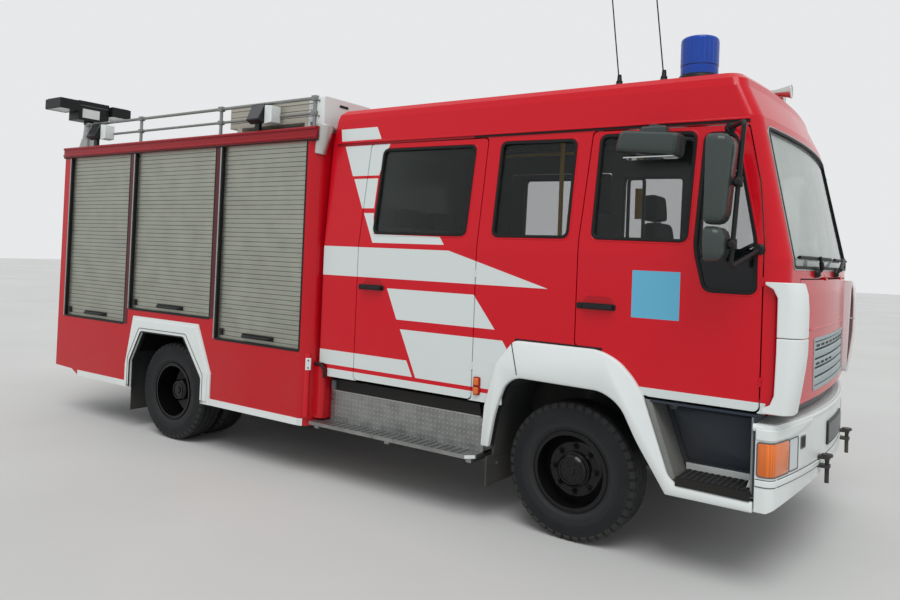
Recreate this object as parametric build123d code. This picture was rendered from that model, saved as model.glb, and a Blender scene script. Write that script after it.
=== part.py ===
"""Fire engine: a double-cab light pumper with a locker body, roof gallery and light mast.

Millimetres. +X is forward, +Y is the left side, +Z is up. The origin is at floor height in the
middle of the overall length and width. Stations named below are measured from the front axle,
forward positive, and moved to the origin by FRONT_AXLE when the pieces are written.
"""
import os
from math import cos, pi, radians, sin

from build123d import *

# Overall length: the towing pins' tips in front, the rear ladder behind.
WHEELBASE = 3767
REAR_OVERHANG = 1833  # rear axle to the rear of the body
LADDER_OUT = 130      # how far the rear ladder stands out behind the body
FRONT_TIP = 1366
REAR_AXLE = -WHEELBASE
BODY_REAR = REAR_AXLE - REAR_OVERHANG
REAR_TIP = BODY_REAR - LADDER_OUT
FRONT_AXLE = -(FRONT_TIP + REAR_TIP) / 2

# Fits
SEAT = 0.3            # clearance between pieces that sit on each other
PANEL_GAP = 7         # gap round doors and flaps
SWEEP = 6             # least clearance past a moving piece
PIN_FIT = 0.3         # radial clearance of a hinge pin

# Widths
CAB_HALF = 1130
BODY_HALF = 1220

# Wheels
TYRE_R = 421
TYRE_WIDTH = 240
TYRE_BEAD_R = 228     # radius at which the tyre meets the rim
FRONT_FACE_Y = CAB_HALF - 87  # outer face of the front tyres
REAR_FACE_Y = BODY_HALF - 52  # outer face of the outer rear tyres
TWIN_PITCH = 284      # distance between the middles of twin tyres
RIM_WALL = 9
RIM_FLANGE = 14
FRONT_DISH = 26       # how far the disc's rim lies inboard of its face
TWIN_DISH = 42        # how far the twin discs' rims lie from their shared face
FRONT_DISC_OUT = 30   # front disc's face outward of the tyre's middle
DRUM_R = 190
HUB_R = 88
STUD_CIRCLE_R = 137.5
STUD_COUNT = 8
STUD_R = 11
SPINDLE_R = 32
AXLE_BORE = SPINDLE_R + 0.08
DISC_THICK = 16

# Frame
RAIL_OUT_Y = 430
RAIL_WIDTH = 70
RAIL_THICK = 8
RAIL_BOTTOM = 620
RAIL_TOP = 830
FRAME_FRONT = 1120
FRAME_REAR = BODY_REAR + 220
CROSS_STATIONS = (1060, -1180, -1900, -2900, REAR_AXLE - 733, FRAME_REAR + 50)
CROSS_HALF = 35
CROSS_Z = (690, 790)
SPRING_THICK = 44
SPRING_MID_Z = 505
SPRING_END_Z = 575
SPRING_FALL = 0.6     # how much lower a hanger meets the spring than the spring's tip
FRONT_SPRING = 640    # half length of a front spring
REAR_SPRING = 700

# Steering
KINGPIN_Y = 780
KINGPIN_R = 20
STEER_ARM = 230       # length of the arms that the tie rod joins
TIE_ROD_R = 14
BOSS_HALF = 60
PIVOT_FIT = 0.1

# Cab
CAB_REAR = -2030
CAB_WALL = 50
CAB_BOTTOM = 775
CREW_FLOOR = 900      # top of the rear floor, over the frame
FRONT_FLOOR = 1060    # top of the front floor, over the wheels
FLOOR_THICK = 40
FLOOR_STEP = -600     # station where the floor steps up
BELT_Z = 1760
DRIP_Z = 2530
ROOF_Z = 2795
ROOF_ROUND = 90

# Outside of the cab: height, half width, rear, corner and centre of the front, corner radius
CAB_LEVELS = (
    (CAB_BOTTOM, CAB_HALF, CAB_REAR, 1215, 1290, 100),
    (BELT_Z, CAB_HALF, CAB_REAR, 1215, 1290, 100),
    (DRIP_Z, CAB_HALF - 58, CAB_REAR, 1042, 1122, 80),
    (ROOF_Z - ROOF_ROUND, CAB_HALF - 78, CAB_REAR + 20, 960, 1035, 80),
)
# Lower rear corner of the cab, cut away over the body's front boxes
CORNER_CUT_X = CAB_REAR + 85
CORNER_CUT_Z = 868
CORNER_CUT_ROUND = 50
ROOF_STEPS = 3        # facets of the rounding on the roof's edge

# Windows: side view, (station, height) of the corners
WINDOW_ROUND = 45
CREW_WINDOW = ((-1560, 1848), (-764, 1846), (-728, 2452), (-1522, 2460))
MID_WINDOW = ((-558, 1845), (-23, 1846), (0, 2450), (-532, 2460))
FRONT_WINDOW = ((132, 1846), (697, 1838), (722, 2452), (155, 2466))
QUARTER_WINDOW = ((795, 1570), (1068, 1570), (1064, 1840), (938, 2440), (766, 2440), (738, 1810))
SCREEN_OUTLINE = ((-1030, 1722), (1030, 1722), (978, 2468), (-978, 2468))
GLASS_THICK = 6
GLASS_DEPTH = 14      # how far the glass lies inside the skin

# Doors: side view, (station, height) of the opening's corners
CREW_DOOR_FRONT = -664
CREW_DOOR = (
    (-1692, CAB_BOTTOM), (CREW_DOOR_FRONT, CAB_BOTTOM), (CREW_DOOR_FRONT, 1770), (-632, 2500),
    (-1650, 2510), (-1692, 1745),
)
ARCH_CROWN = ((284, 1196), (468, 1016))
FRONT_DOOR_FRONT = 1104
FRONT_DOOR = (
    (46, 1196), *ARCH_CROWN, (491, 957), (FRONT_DOOR_FRONT, 957),
    (FRONT_DOOR_FRONT, 1838), (1072, 2160), (1000, 2485), (100, 2496), (48, 1840),
)
DOOR_ROUND = 30
HINGE_R = 8
HINGE_PIN_R = 4
HINGE_KNUCKLE = 16    # height of one of the three knuckles of a hinge
CREW_HINGES = (1000, 1600)
FRONT_HINGES = (1120, 1640)

DOORS = (
    # name, outline, station of the hinge axis, hinge heights, windows
    ("crew", CREW_DOOR, CREW_DOOR_FRONT - PANEL_GAP / 2, CREW_HINGES, (CREW_WINDOW,)),
    ("front", FRONT_DOOR, FRONT_DOOR_FRONT - PANEL_GAP / 2, FRONT_HINGES, (FRONT_WINDOW, QUARTER_WINDOW)),
)

# Front flap: front view, half width and heights
FLAP_HALF = 900
FLAP_LOW = 985
FLAP_HIGH = 1655
FLAP_HINGE_Y = 320
FLAP_AXIS_X = 1284
FLAP_COVE = 4         # room round the knuckles for the flap's bowed edge
FIREWALL = (1110, 1135)
GRILLE_HALF = 589
GRILLE_LOW = 1027
GRILLE_HIGH = 1325
GRILLE_BARS = 4

# Front arch, sill and step: side view
ARCH_OUTER = (
    (-575, 440), (-552, 760), (-478, 1040), (-352, 1196), *ARCH_CROWN, (655, 514),
    (1085, 500), (1085, 446), (630, 446),
)
ARCH_INNER = (
    (-497, 440), (-460, 720), (-415, 872), (-300, 968), (226, 960), (342, 915), (453, 711), (630, 446),
)
ARCH_OUT_Y = 1162
ARCH_IN_Y = 1075
# Inside face of the front mudguard and the recess over the front step, side views
GUARD_LINE = (
    (-512, 440), (-480, 720), (-425, 885), (-305, 985), (230, 978), (352, 928), (470, 715), (560, 560),
)
GUARD_IN_Y = 620
GUARD_THICK = 8
STEP_RECESS = ((522, 938), (668, 534), (1079.7, 534), (1079.7, 938))
TREAD_HIGH = 536
CREW_STEP = (-2040, -600)
CREW_CHAMFER = 60     # cut off the outer front corner of the tread
CREW_TREAD = (412, 437)
CREW_STEP_Y = (BODY_HALF - 170, BODY_HALF - 15)
TANK = ((-1950, -780), (480, 1000), (450, 740))

# Bumper
BUMPER_LOW = 455
BUMPER_HIGH = 905
BUMPER_FRONT = 1312
BUMPER_CORNER = 1175
BUMPER_HALF = 1150
BUMPER_REAR = 1092
BUMPER_WALL = 70
BUMPER_ROUND = 55
INDICATOR = ((1100, 1242), (1020, 1200), (640, 812))
HEADLAMP = ((1150, 1400), (720, 1000), (640, 812))
BUMPER_ARM = ((FRAME_FRONT + SEAT, 1255), (360, 430), (650, 800))
DEFLECTORS = ((960, 1353), (1361, 1640))
TOW_PIN_Y = 444
TOW_PIN_Z = 612

# Locker body
BODY_FRONT = -2060
BODY_LOW = 455
BODY_TOP = 2600
BODY_WALL = 40
STRIP_LOW = 392
STRIP_HIGH = 444
STRIP_CUT = BODY_REAR + 415
TUNNEL_HALF = 640     # the frame's tunnel under the lockers
TUNNEL_TOP = 900
CORNICE_LOW = 2548
CORNICE_HIGH = 2645
CORNICE_OUT = 12
PILLAR_R = 90
LOCKER_HEAD = 2538
# Lockers: shutter opening's rear and front, room's rear and front, sill, room's floor
LOCKERS = (
    (BODY_REAR + 131, REAR_AXLE - 690, BODY_REAR + 50, REAR_AXLE - 670, 962, 485),
    (REAR_AXLE - 604, REAR_AXLE + 539, REAR_AXLE - 624, REAR_AXLE + 559, 1105, 1085),
    (REAR_AXLE + 627, BODY_FRONT - 105, REAR_AXLE + 607, BODY_FRONT - 85, 946, 485),
)
REAR_LOCKER_HALF = 560
REAR_LOCKER_SILL = 940
SHUTTER_DEPTH = 26    # how far the curtains lie inside the skin
SHUTTER_THICK = 12
SLAT_PITCH = 37
SLAT_GROOVE = 5       # height and depth of the grooves between slats
# Frame mounts: station and the height of what rests on them
MOUNTS = (
    (-1850, CREW_FLOOR - FLOOR_THICK), (-750, CREW_FLOOR - FLOOR_THICK), (880, FRONT_FLOOR - FLOOR_THICK),
    (-2400, TUNNEL_TOP), (-3000, TUNNEL_TOP), (REAR_AXLE - 793, TUNNEL_TOP), (FRAME_REAR + 180, TUNNEL_TOP),
)

# Rear arch: side view, (distance forward of the rear axle, height)
REAR_ARCH_OUTER = [
    (REAR_AXLE + x, z) for x, z in (
        (-617, STRIP_LOW), (-617, 600), (-521, 1046), (409, 1046), (597, 650), (597, STRIP_LOW),
    )
]
REAR_ARCH_INNER = [
    (REAR_AXLE + x, z) for x, z in (
        (-533, STRIP_LOW - 1), (-533, 640), (-379, 915), (233, 920), (483, 602), (483, STRIP_LOW - 1),
    )
]
REAR_ARCH_OUT = 12
REAR_ARCH_STEP = 10   # the raised middle of the arch moulding
REAR_ARCH_EDGE = 30   # width of the moulding's lower border
WHEELHOUSE = ((REAR_AXLE - 597, REAR_AXLE + 577), 1040)

# Boxes ahead of the body's front, below the cab's rear corner cut-out
FRONT_BOX_HALF = BODY_HALF - 70
FRONT_BOX_GAP = 26
FRONT_BOX_X = CORNER_CUT_X - FRONT_BOX_GAP
FRONT_BOX_TOP = CORNER_CUT_Z - FRONT_BOX_GAP
FRONT_BOX_ROUND = 40

# Roof
DECK_HIGH = BODY_TOP + 22
RAIL_Y = BODY_HALF - 100
RAIL_R = 13
RAIL_HIGH = DECK_HIGH + 263
RAIL_MID = RAIL_HIGH - 117
RAIL_POSTS = (BODY_REAR + 220, REAR_AXLE - 703, REAR_AXLE + 455, BODY_FRONT - 140)
ROOF_BOX = ((BODY_FRONT - 1170, BODY_FRONT - 130), (135 - BODY_HALF, 645 - BODY_HALF), (2712, 2910))
BEACON_STATION = 640
BEACON_Y = 800
BEACON_R = 108
BEACON_HIGH = 3055
HORNS = ((-60, 1016), (70, 950))
AREA_LIGHTS = (BODY_REAR + 525, BODY_FRONT - 680)
AERIALS = (175, 455)
AERIAL_Y = -880
AERIAL_R = 4
AERIAL_RISE = 640
AERIAL_LEAN = 75

# Light mast
MAST = (BODY_REAR + 110, 160 - BODY_HALF)
MAST_TUBE_R = 50
MAST_WALL = 4
MAST_FIT = 0.5
MAST_BASE = 485.3
MAST_TOP = 2900
MAST_TUBE_TOP = MAST_TOP - 110
LAMP_TILT_Z = MAST_TOP + 160
LAMP_SHAFT_R = 14
LAMP_SIZE = (280, 205, 90)

# Rear
LADDER_Y = (BODY_HALF - 600, BODY_HALF - 260)
LADDER_LOW = 560
LADDER_HIGH = 2790
TOW_BORE_R = 16
TOW_EYE = (BODY_REAR - 55, 0)
TOW_EYE_R = 45

# Inside
STEERING_WHEEL = (600, 560, 1800)
STEERING_LEAN = 58
WHEEL_RIM_R = 215
COLUMN_R = 18
# Seats: station of the back, y of the middle, width, floor
SEATS = (
    (-30, -560, 520, FRONT_FLOOR),
    (-30, 560, 520, FRONT_FLOOR),
    (-1880, 0, 2 * CAB_HALF - 460, CREW_FLOOR),
)

# Mirrors: arm along (station, y, height) points, housings as (low, high) heights
MIRROR_ARM = ((900, -1060, 2462), (1030, -1350, 2445), (990, -1350, 1752), (1080, -1110, 1800))
MIRROR_ARM_R = 11
MIRROR_HOUSINGS = ((1925, 2385, 2140), (1735, 1912, 1825))
MIRROR_X = (870, 972)
MIRROR_Y = (-1440, -1245)
KERB_MIRROR = ((300, 690), (-1270, -1105), (2300, 2440))


RIGHT_WALL = (-1300, -900)
WHOLE_WIDTH = (-1300, 1300)


def box(x, y, z):
    """Solid box between the (low, high) pairs along each axis."""
    size = [high - low for low, high in (x, y, z)]
    middle = [(high + low) / 2 for low, high in (x, y, z)]
    return Pos(*middle) * Box(*size)


def outline(points, radius=0, inset=0):
    """Closed sketch through the points, drawn in by inset, with its corners rounded."""
    sketch = make_face(Polyline(*points, close=True))
    if inset:
        sketch = offset(sketch, amount=-inset, kind=Kind.INTERSECTION)
    if radius:
        sketch = fillet(sketch.vertices(), radius)
    return sketch


def side_prism(points, y, radius=0, inset=0):
    """Prism of a side view, (station, height) points, between two widths."""
    plane = Plane((0, y[1], 0), x_dir=(1, 0, 0), z_dir=(0, -1, 0))
    return extrude(plane * outline(points, radius, inset), amount=y[1] - y[0])


def front_prism(points, x, radius=0, inset=0):
    """Prism of a front view, (width, height) points, between two stations."""
    plane = Plane((x[0], 0, 0), x_dir=(0, 1, 0), z_dir=(1, 0, 0))
    return extrude(plane * outline(points, radius, inset), amount=x[1] - x[0])


def plan_prism(points, z, radius=0):
    """Prism of a plan view, (station, width) points, between two heights."""
    return extrude(Pos(0, 0, z[0]) * outline(points, radius), amount=z[1] - z[0])


def bar(start, end, radius):
    """Round bar between two points."""
    direction = Vector(*end) - Vector(*start)
    return extrude(Plane(start, z_dir=direction) * Circle(radius), amount=direction.length)


def bent_bar(points, radius, bend):
    """Round bar along straight runs with equal bends."""
    path = FilletPolyline(*points, radius=bend)
    start = Plane(path @ 0, z_dir=path % 0)
    return sweep(start * Circle(radius), path=path)


def disc(centre, axis, radius, length):
    """Cylinder that starts at a centre and runs along an axis."""
    return extrude(Plane(centre, z_dir=axis) * Circle(radius), amount=length)


def left(shape):
    """The same piece on the other side of the vehicle."""
    return mirror(shape, about=Plane.XZ)


def pair(*shapes):
    """Pieces of the right side with their twins on the left."""
    return [*shapes, *[left(shape) for shape in shapes]]


def save(name, *shapes):
    """Writes the solids of one node, moved from the front axle to the origin."""
    solids = [solid for shape in shapes for solid in shape.solids()]
    placed = [Pos(FRONT_AXLE, 0, 0) * solid for solid in solids]
    export_step(placed[0] if len(placed) == 1 else Compound(children=placed), f"parts/{name}.step")


def cab_section(z, half, rear, corner, centre, radius):
    """Plan section of the cab: straight sides and rear, bowed front, rounded front corners."""
    edges = [
        Line((rear, half), (rear, -half)),
        Line((rear, -half), (corner, -half)),
        ThreePointArc((corner, -half), (centre, 0), (corner, half)),
        Line((corner, half), (rear, half)),
    ]
    sketch = make_face(edges)
    corners = sketch.vertices().sort_by(Axis.X)[-2:]
    return Pos(0, 0, z) * fillet(corners, radius)


def cab_levels(inset, bottom, nose):
    """Cab levels drawn in by inset, from a bottom height, with the nose moved forward."""
    top_z, top_half, top_rear, top_corner, top_centre, top_radius = CAB_LEVELS[-1]
    levels = [(bottom if z == CAB_BOTTOM else z, *rest) for z, *rest in CAB_LEVELS]
    for step in range(1, ROOF_STEPS + 1):
        turn = pi / 2 * step / ROOF_STEPS
        pull = ROOF_ROUND * (1 - cos(turn))
        rise = ROOF_ROUND * sin(turn)
        shrunk = (top_half - pull, top_rear + pull, top_corner - pull, top_centre - pull)
        levels.append((top_z + rise, *shrunk, top_radius))
    return [
        (
            z if z <= DRIP_Z else DRIP_Z + (z - DRIP_Z) * (ROOF_Z - inset - DRIP_Z) / (ROOF_Z - DRIP_Z),
            half - inset,
            rear + inset,
            corner - inset + nose,
            centre - inset + nose,
            radius - inset,
        )
        for z, half, rear, corner, centre, radius in levels
    ]


def cab_form(inset=0, bottom=CAB_BOTTOM, nose=0):
    """Solid form of the cab, drawn in from the skin by inset."""
    return loft([cab_section(*level) for level in cab_levels(inset, bottom, nose)], ruled=True)


def cab_wall():
    """The side walls of the cab without its nose, as thick as a door."""
    return cab_form() - cab_form(CAB_WALL, CAB_BOTTOM - 50, nose=400)


def cab_glass(nose=0):
    """Thin skin just inside the cab's form, out of which the glass is cut."""
    return cab_form(GLASS_DEPTH, nose=nose) - cab_form(GLASS_DEPTH + GLASS_THICK, CAB_BOTTOM - 50, nose=nose)


def hinge_cylinder(station, z, rise, radius):
    """Upright cylinder about a door's hinge axis, centred on a height."""
    half = CAB_LEVELS[0][1]
    return disc((station, -half, z - rise / 2), (0, 0, 1), radius, rise)


def make_hinge(station, z):
    """One hinge: the pin with its two outer knuckles, and the door's knuckle between them."""
    reach = HINGE_KNUCKLE + SEAT
    pocket = HINGE_KNUCKLE + 2 * SEAT
    low, high = [hinge_cylinder(station, z + side * reach, HINGE_KNUCKLE, HINGE_R) for side in (-1, 1)]
    pin = hinge_cylinder(station, z, 2 * reach + HINGE_KNUCKLE, HINGE_PIN_R)
    knuckle = hinge_cylinder(station, z, HINGE_KNUCKLE, HINGE_R)
    moving = knuckle - hinge_cylinder(station, z, HINGE_KNUCKLE, HINGE_PIN_R + PIN_FIT)
    door_pocket = [hinge_cylinder(station, z + side * reach, pocket, HINGE_R + SEAT) for side in (-1, 1)]
    pillar_pocket = hinge_cylinder(station, z, pocket, HINGE_R + SEAT)
    return low + high + pin, moving, door_pocket, pillar_pocket


def write_cab():
    """The hollow cab with its doors, windows and glass."""
    wall = cab_wall()
    skin = cab_glass()
    front_under = FRONT_FLOOR - FLOOR_THICK
    shell = cab_form() - cab_form(CAB_WALL, FRONT_FLOOR)
    shell -= box((CAB_REAR + CAB_WALL, FLOOR_STEP), (50 - CAB_HALF, CAB_HALF - 50), (CREW_FLOOR, FRONT_FLOOR + 1))
    shell -= box((FLOOR_STEP + FLOOR_THICK, 1400), WHOLE_WIDTH, (CAB_BOTTOM - 1, front_under))
    rear_under = CREW_FLOOR - FLOOR_THICK
    shell -= box((CAB_REAR - 1, FLOOR_STEP + FLOOR_THICK + 1), (50 - CAB_HALF, CAB_HALF - 50), (CAB_BOTTOM - 1, rear_under))
    shell += wall & box((1090, 1180), WHOLE_WIDTH, (957, front_under))
    shell -= pair(side_prism([*ARCH_OUTER[:6], ARCH_OUTER[-1]], (-1300, SEAT - ARCH_IN_Y), inset=-SEAT))
    cut = ((CAB_REAR - 100, 660), (CORNER_CUT_X, 660), (CORNER_CUT_X, CORNER_CUT_Z), (CAB_REAR - 100, CORNER_CUT_Z))
    shell -= pair(side_prism(cut, (-1300, -1080), CORNER_CUT_ROUND))
    shell -= pair(side_prism(MID_WINDOW, RIGHT_WALL, WINDOW_ROUND))
    shell -= front_prism(SCREEN_OUTLINE, (900, 1500), WINDOW_ROUND)
    half_opening = FLAP_HALF + PANEL_GAP
    shell -= box((FIREWALL[1], 1500), (-half_opening, half_opening), (CAB_BOTTOM, FLAP_HIGH + PANEL_GAP))
    firewall = box(FIREWALL, (-1090, 1090), (front_under, BELT_Z - 60))
    shell += firewall
    for name, points, station, heights, windows in DOORS:
        shell -= pair(side_prism(points, (-1300, -940), DOOR_ROUND))
        leaf = wall & side_prism(points, RIGHT_WALL, DOOR_ROUND, PANEL_GAP)
        glass = []
        for window in windows:
            leaf -= side_prism(window, RIGHT_WALL, WINDOW_ROUND)
            glass.append(skin & side_prism(window, RIGHT_WALL, WINDOW_ROUND, SEAT))
        for z in heights:
            fixed, moving, door_pocket, pillar_pocket = make_hinge(station, z)
            leaf = leaf - door_pocket + moving - hinge_cylinder(station, z, 4 * HINGE_KNUCKLE, HINGE_PIN_R + PIN_FIT)
            shell = shell - pair(pillar_pocket) + pair(fixed)
        save(f"{name}_door_right", leaf)
        save(f"{name}_door_left", left(leaf))
        save(f"{name}_glass_right", *glass)
        save(f"{name}_glass_left", *[left(pane) for pane in glass])
    shell, flap = make_flap(shell)
    save("cab_shell", shell)
    save("front_flap", flap)
    screen = skin & front_prism(SCREEN_OUTLINE, (900, 1500), WINDOW_ROUND, SEAT)
    save("cab_windows", screen, *pair(skin & side_prism(MID_WINDOW, RIGHT_WALL, WINDOW_ROUND, SEAT)))


def make_flap(shell):
    """The front flap, hung by two hinges on its upper edge, and the shell with their fixed knuckles."""
    front_wall = cab_form() - cab_form(CAB_WALL, CAB_BOTTOM - 50)
    flap = front_wall & box((FIREWALL[1], 1500), (-FLAP_HALF, FLAP_HALF), (FLAP_LOW, FLAP_HIGH))
    grille_hole = box((FIREWALL[1], 1500), (-GRILLE_HALF, GRILLE_HALF), (GRILLE_LOW, GRILLE_HIGH))
    flap -= grille_hole
    axis_z = FLAP_HIGH + PANEL_GAP / 2
    width = 2 * HINGE_KNUCKLE
    shell -= disc((FLAP_AXIS_X, -FLAP_HALF, axis_z), (0, 1, 0), HINGE_R + FLAP_COVE, 2 * FLAP_HALF)
    for y in (-FLAP_HINGE_Y, FLAP_HINGE_Y):
        inner = disc((FLAP_AXIS_X, y - width / 2, axis_z), (0, 1, 0), HINGE_R, width)
        bore = disc((FLAP_AXIS_X, y - width, axis_z), (0, 1, 0), HINGE_PIN_R + PIN_FIT, 2 * width)
        flap = flap + inner - bore
        pin = disc((FLAP_AXIS_X, y - width, axis_z), (0, 1, 0), HINGE_PIN_R, 2 * width)
        for side in (-1, 1):
            start = y + side * (width * 0.75 + SEAT) - width / 4
            flap -= disc((FLAP_AXIS_X, start - SEAT, axis_z), (0, 1, 0), HINGE_R + SEAT, width / 2 + 2 * SEAT)
            pin += disc((FLAP_AXIS_X, start, axis_z), (0, 1, 0), HINGE_R, width / 2)
            pin += box((FLAP_AXIS_X - 20, FLAP_AXIS_X), (start, start + width / 2), (axis_z, axis_z + 24))
        shell += pin
    inner_half = GRILLE_HALF - 18
    mouth = box((FIREWALL[1], 1500), (-inner_half, inner_half), (GRILLE_LOW + 16, GRILLE_HIGH - 16))
    grille = front_wall & (grille_hole - mouth)
    pitch = (GRILLE_HIGH - GRILLE_LOW) / (GRILLE_BARS + 1)
    for bar_no in range(1, GRILLE_BARS + 1):
        z = GRILLE_LOW + bar_no * pitch
        grille += front_wall & box((FIREWALL[1], 1500), (-GRILLE_HALF, GRILLE_HALF), (z - 17, z + 17))
    save("front_grille", grille)
    return shell, flap


def spun(profile, y):
    """Turned piece about a wheel's axle: (radius, width from y) points."""
    plane = Plane((0, y, TYRE_R), x_dir=(0, 0, 1), z_dir=(-1, 0, 0))
    return revolve(plane * make_face(Polyline(*profile, close=True)), Axis((0, 0, TYRE_R), (0, 1, 0)), 360)


def tyre(y):
    """One tyre about its middle, a flat tread between rounded shoulders and bulged walls."""
    half = TYRE_WIDTH / 2
    wall = [
        (TYRE_BEAD_R, -half + 24), (TYRE_BEAD_R + RIM_FLANGE + 1, -half + 24), (TYRE_BEAD_R + 46, -half + 5),
        (TYRE_R - 96, -half), (TYRE_R - 34, -half + 8), (TYRE_R - 9, -half + 22), (TYRE_R, -half + 44),
    ]
    return spun(wall + [(radius, -width) for radius, width in reversed(wall)], y)


def rim(y, face, dish):
    """Pressed steel wheel: barrel about the tyre's middle, dished disc with its outer face at a width."""
    half = TYRE_WIDTH / 2 - 24
    bead = TYRE_BEAD_R - SEAT
    inside = bead - RIM_WALL
    flange = bead + RIM_FLANGE
    barrel = [
        (inside, -half - 10), (flange, -half - 10), (flange, -half - SEAT), (bead, -half - SEAT),
        (bead, half + SEAT), (flange, half + SEAT), (flange, half + 10), (inside, half + 10),
    ]
    flat = face - y
    turn = STUD_CIRCLE_R + 26
    back = flat + DISC_THICK
    web = [
        (AXLE_BORE, flat), (turn, flat), (inside + 2, flat + dish), (inside + 2, back + dish),
        (turn, back), (AXLE_BORE, back),
    ]
    return spun(barrel, y) + spun(web, y)


def studs(face, length):
    """Wheel studs that stand out of a disc's face towards the right."""
    stud = disc((STUD_CIRCLE_R, face + 5, 0), (0, -1, 0), STUD_R, length + 5)
    ring = [Pos(0, 0, TYRE_R) * Rot(0, 360 / STUD_COUNT * n, 0) * stud for n in range(STUD_COUNT)]
    return ring[0] + ring[1:]


def write_wheels():
    """Tyres and wheels: single in front, twins behind, each spinning on its spindle."""
    front_y = -(FRONT_FACE_Y - TYRE_WIDTH / 2)
    outer_y = -(REAR_FACE_Y - TYRE_WIDTH / 2)
    inner_y = outer_y + TWIN_PITCH
    back = Pos(REAR_AXLE, 0, 0)

    face = front_y - FRONT_DISC_OUT
    drum_at = face + DISC_THICK
    cap = [
        (AXLE_BORE, 0), (108, 0), (108, -22), (96, -30), (96, -48), (84, -58), (0, -58), (0, -14), (AXLE_BORE, -14),
    ]
    drum = [
        (AXLE_BORE, 0), (DRUM_R, 0), (DRUM_R, 118), (DRUM_R - 14, 118), (DRUM_R - 14, 14), (HUB_R, 14),
        (HUB_R, 52), (AXLE_BORE, 52),
    ]
    front = rim(front_y, face, FRONT_DISH) + spun(cap, face) + spun(drum, drum_at) + studs(face, 36)

    middle = (outer_y + inner_y) / 2
    outer_rim = rim(outer_y, middle - DISC_THICK, -TWIN_DISH)
    inner_rim = rim(inner_y, middle, TWIN_DISH)
    hub = [
        (AXLE_BORE, -150), (0, -150), (0, -190), (78, -190), (94, -176), (94, 16), (DRUM_R, 16), (DRUM_R, 190),
        (DRUM_R - 14, 190), (DRUM_R - 14, 30), (HUB_R, 30), (HUB_R, 60), (AXLE_BORE, 60),
    ]
    rear = back * (outer_rim + inner_rim + spun(hub, middle) + studs(middle - DISC_THICK, 36))
    twins = [back * tyre(outer_y), back * tyre(inner_y)]

    sets = (("front_tyre", [tyre(front_y)]), ("front_wheel", [front]), ("rear_tyres", twins), ("rear_wheels", [rear]))
    for name, pieces in sets:
        save(f"{name}_right", *pieces)
        save(f"{name}_left", *[left(piece) for piece in pieces])


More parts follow.
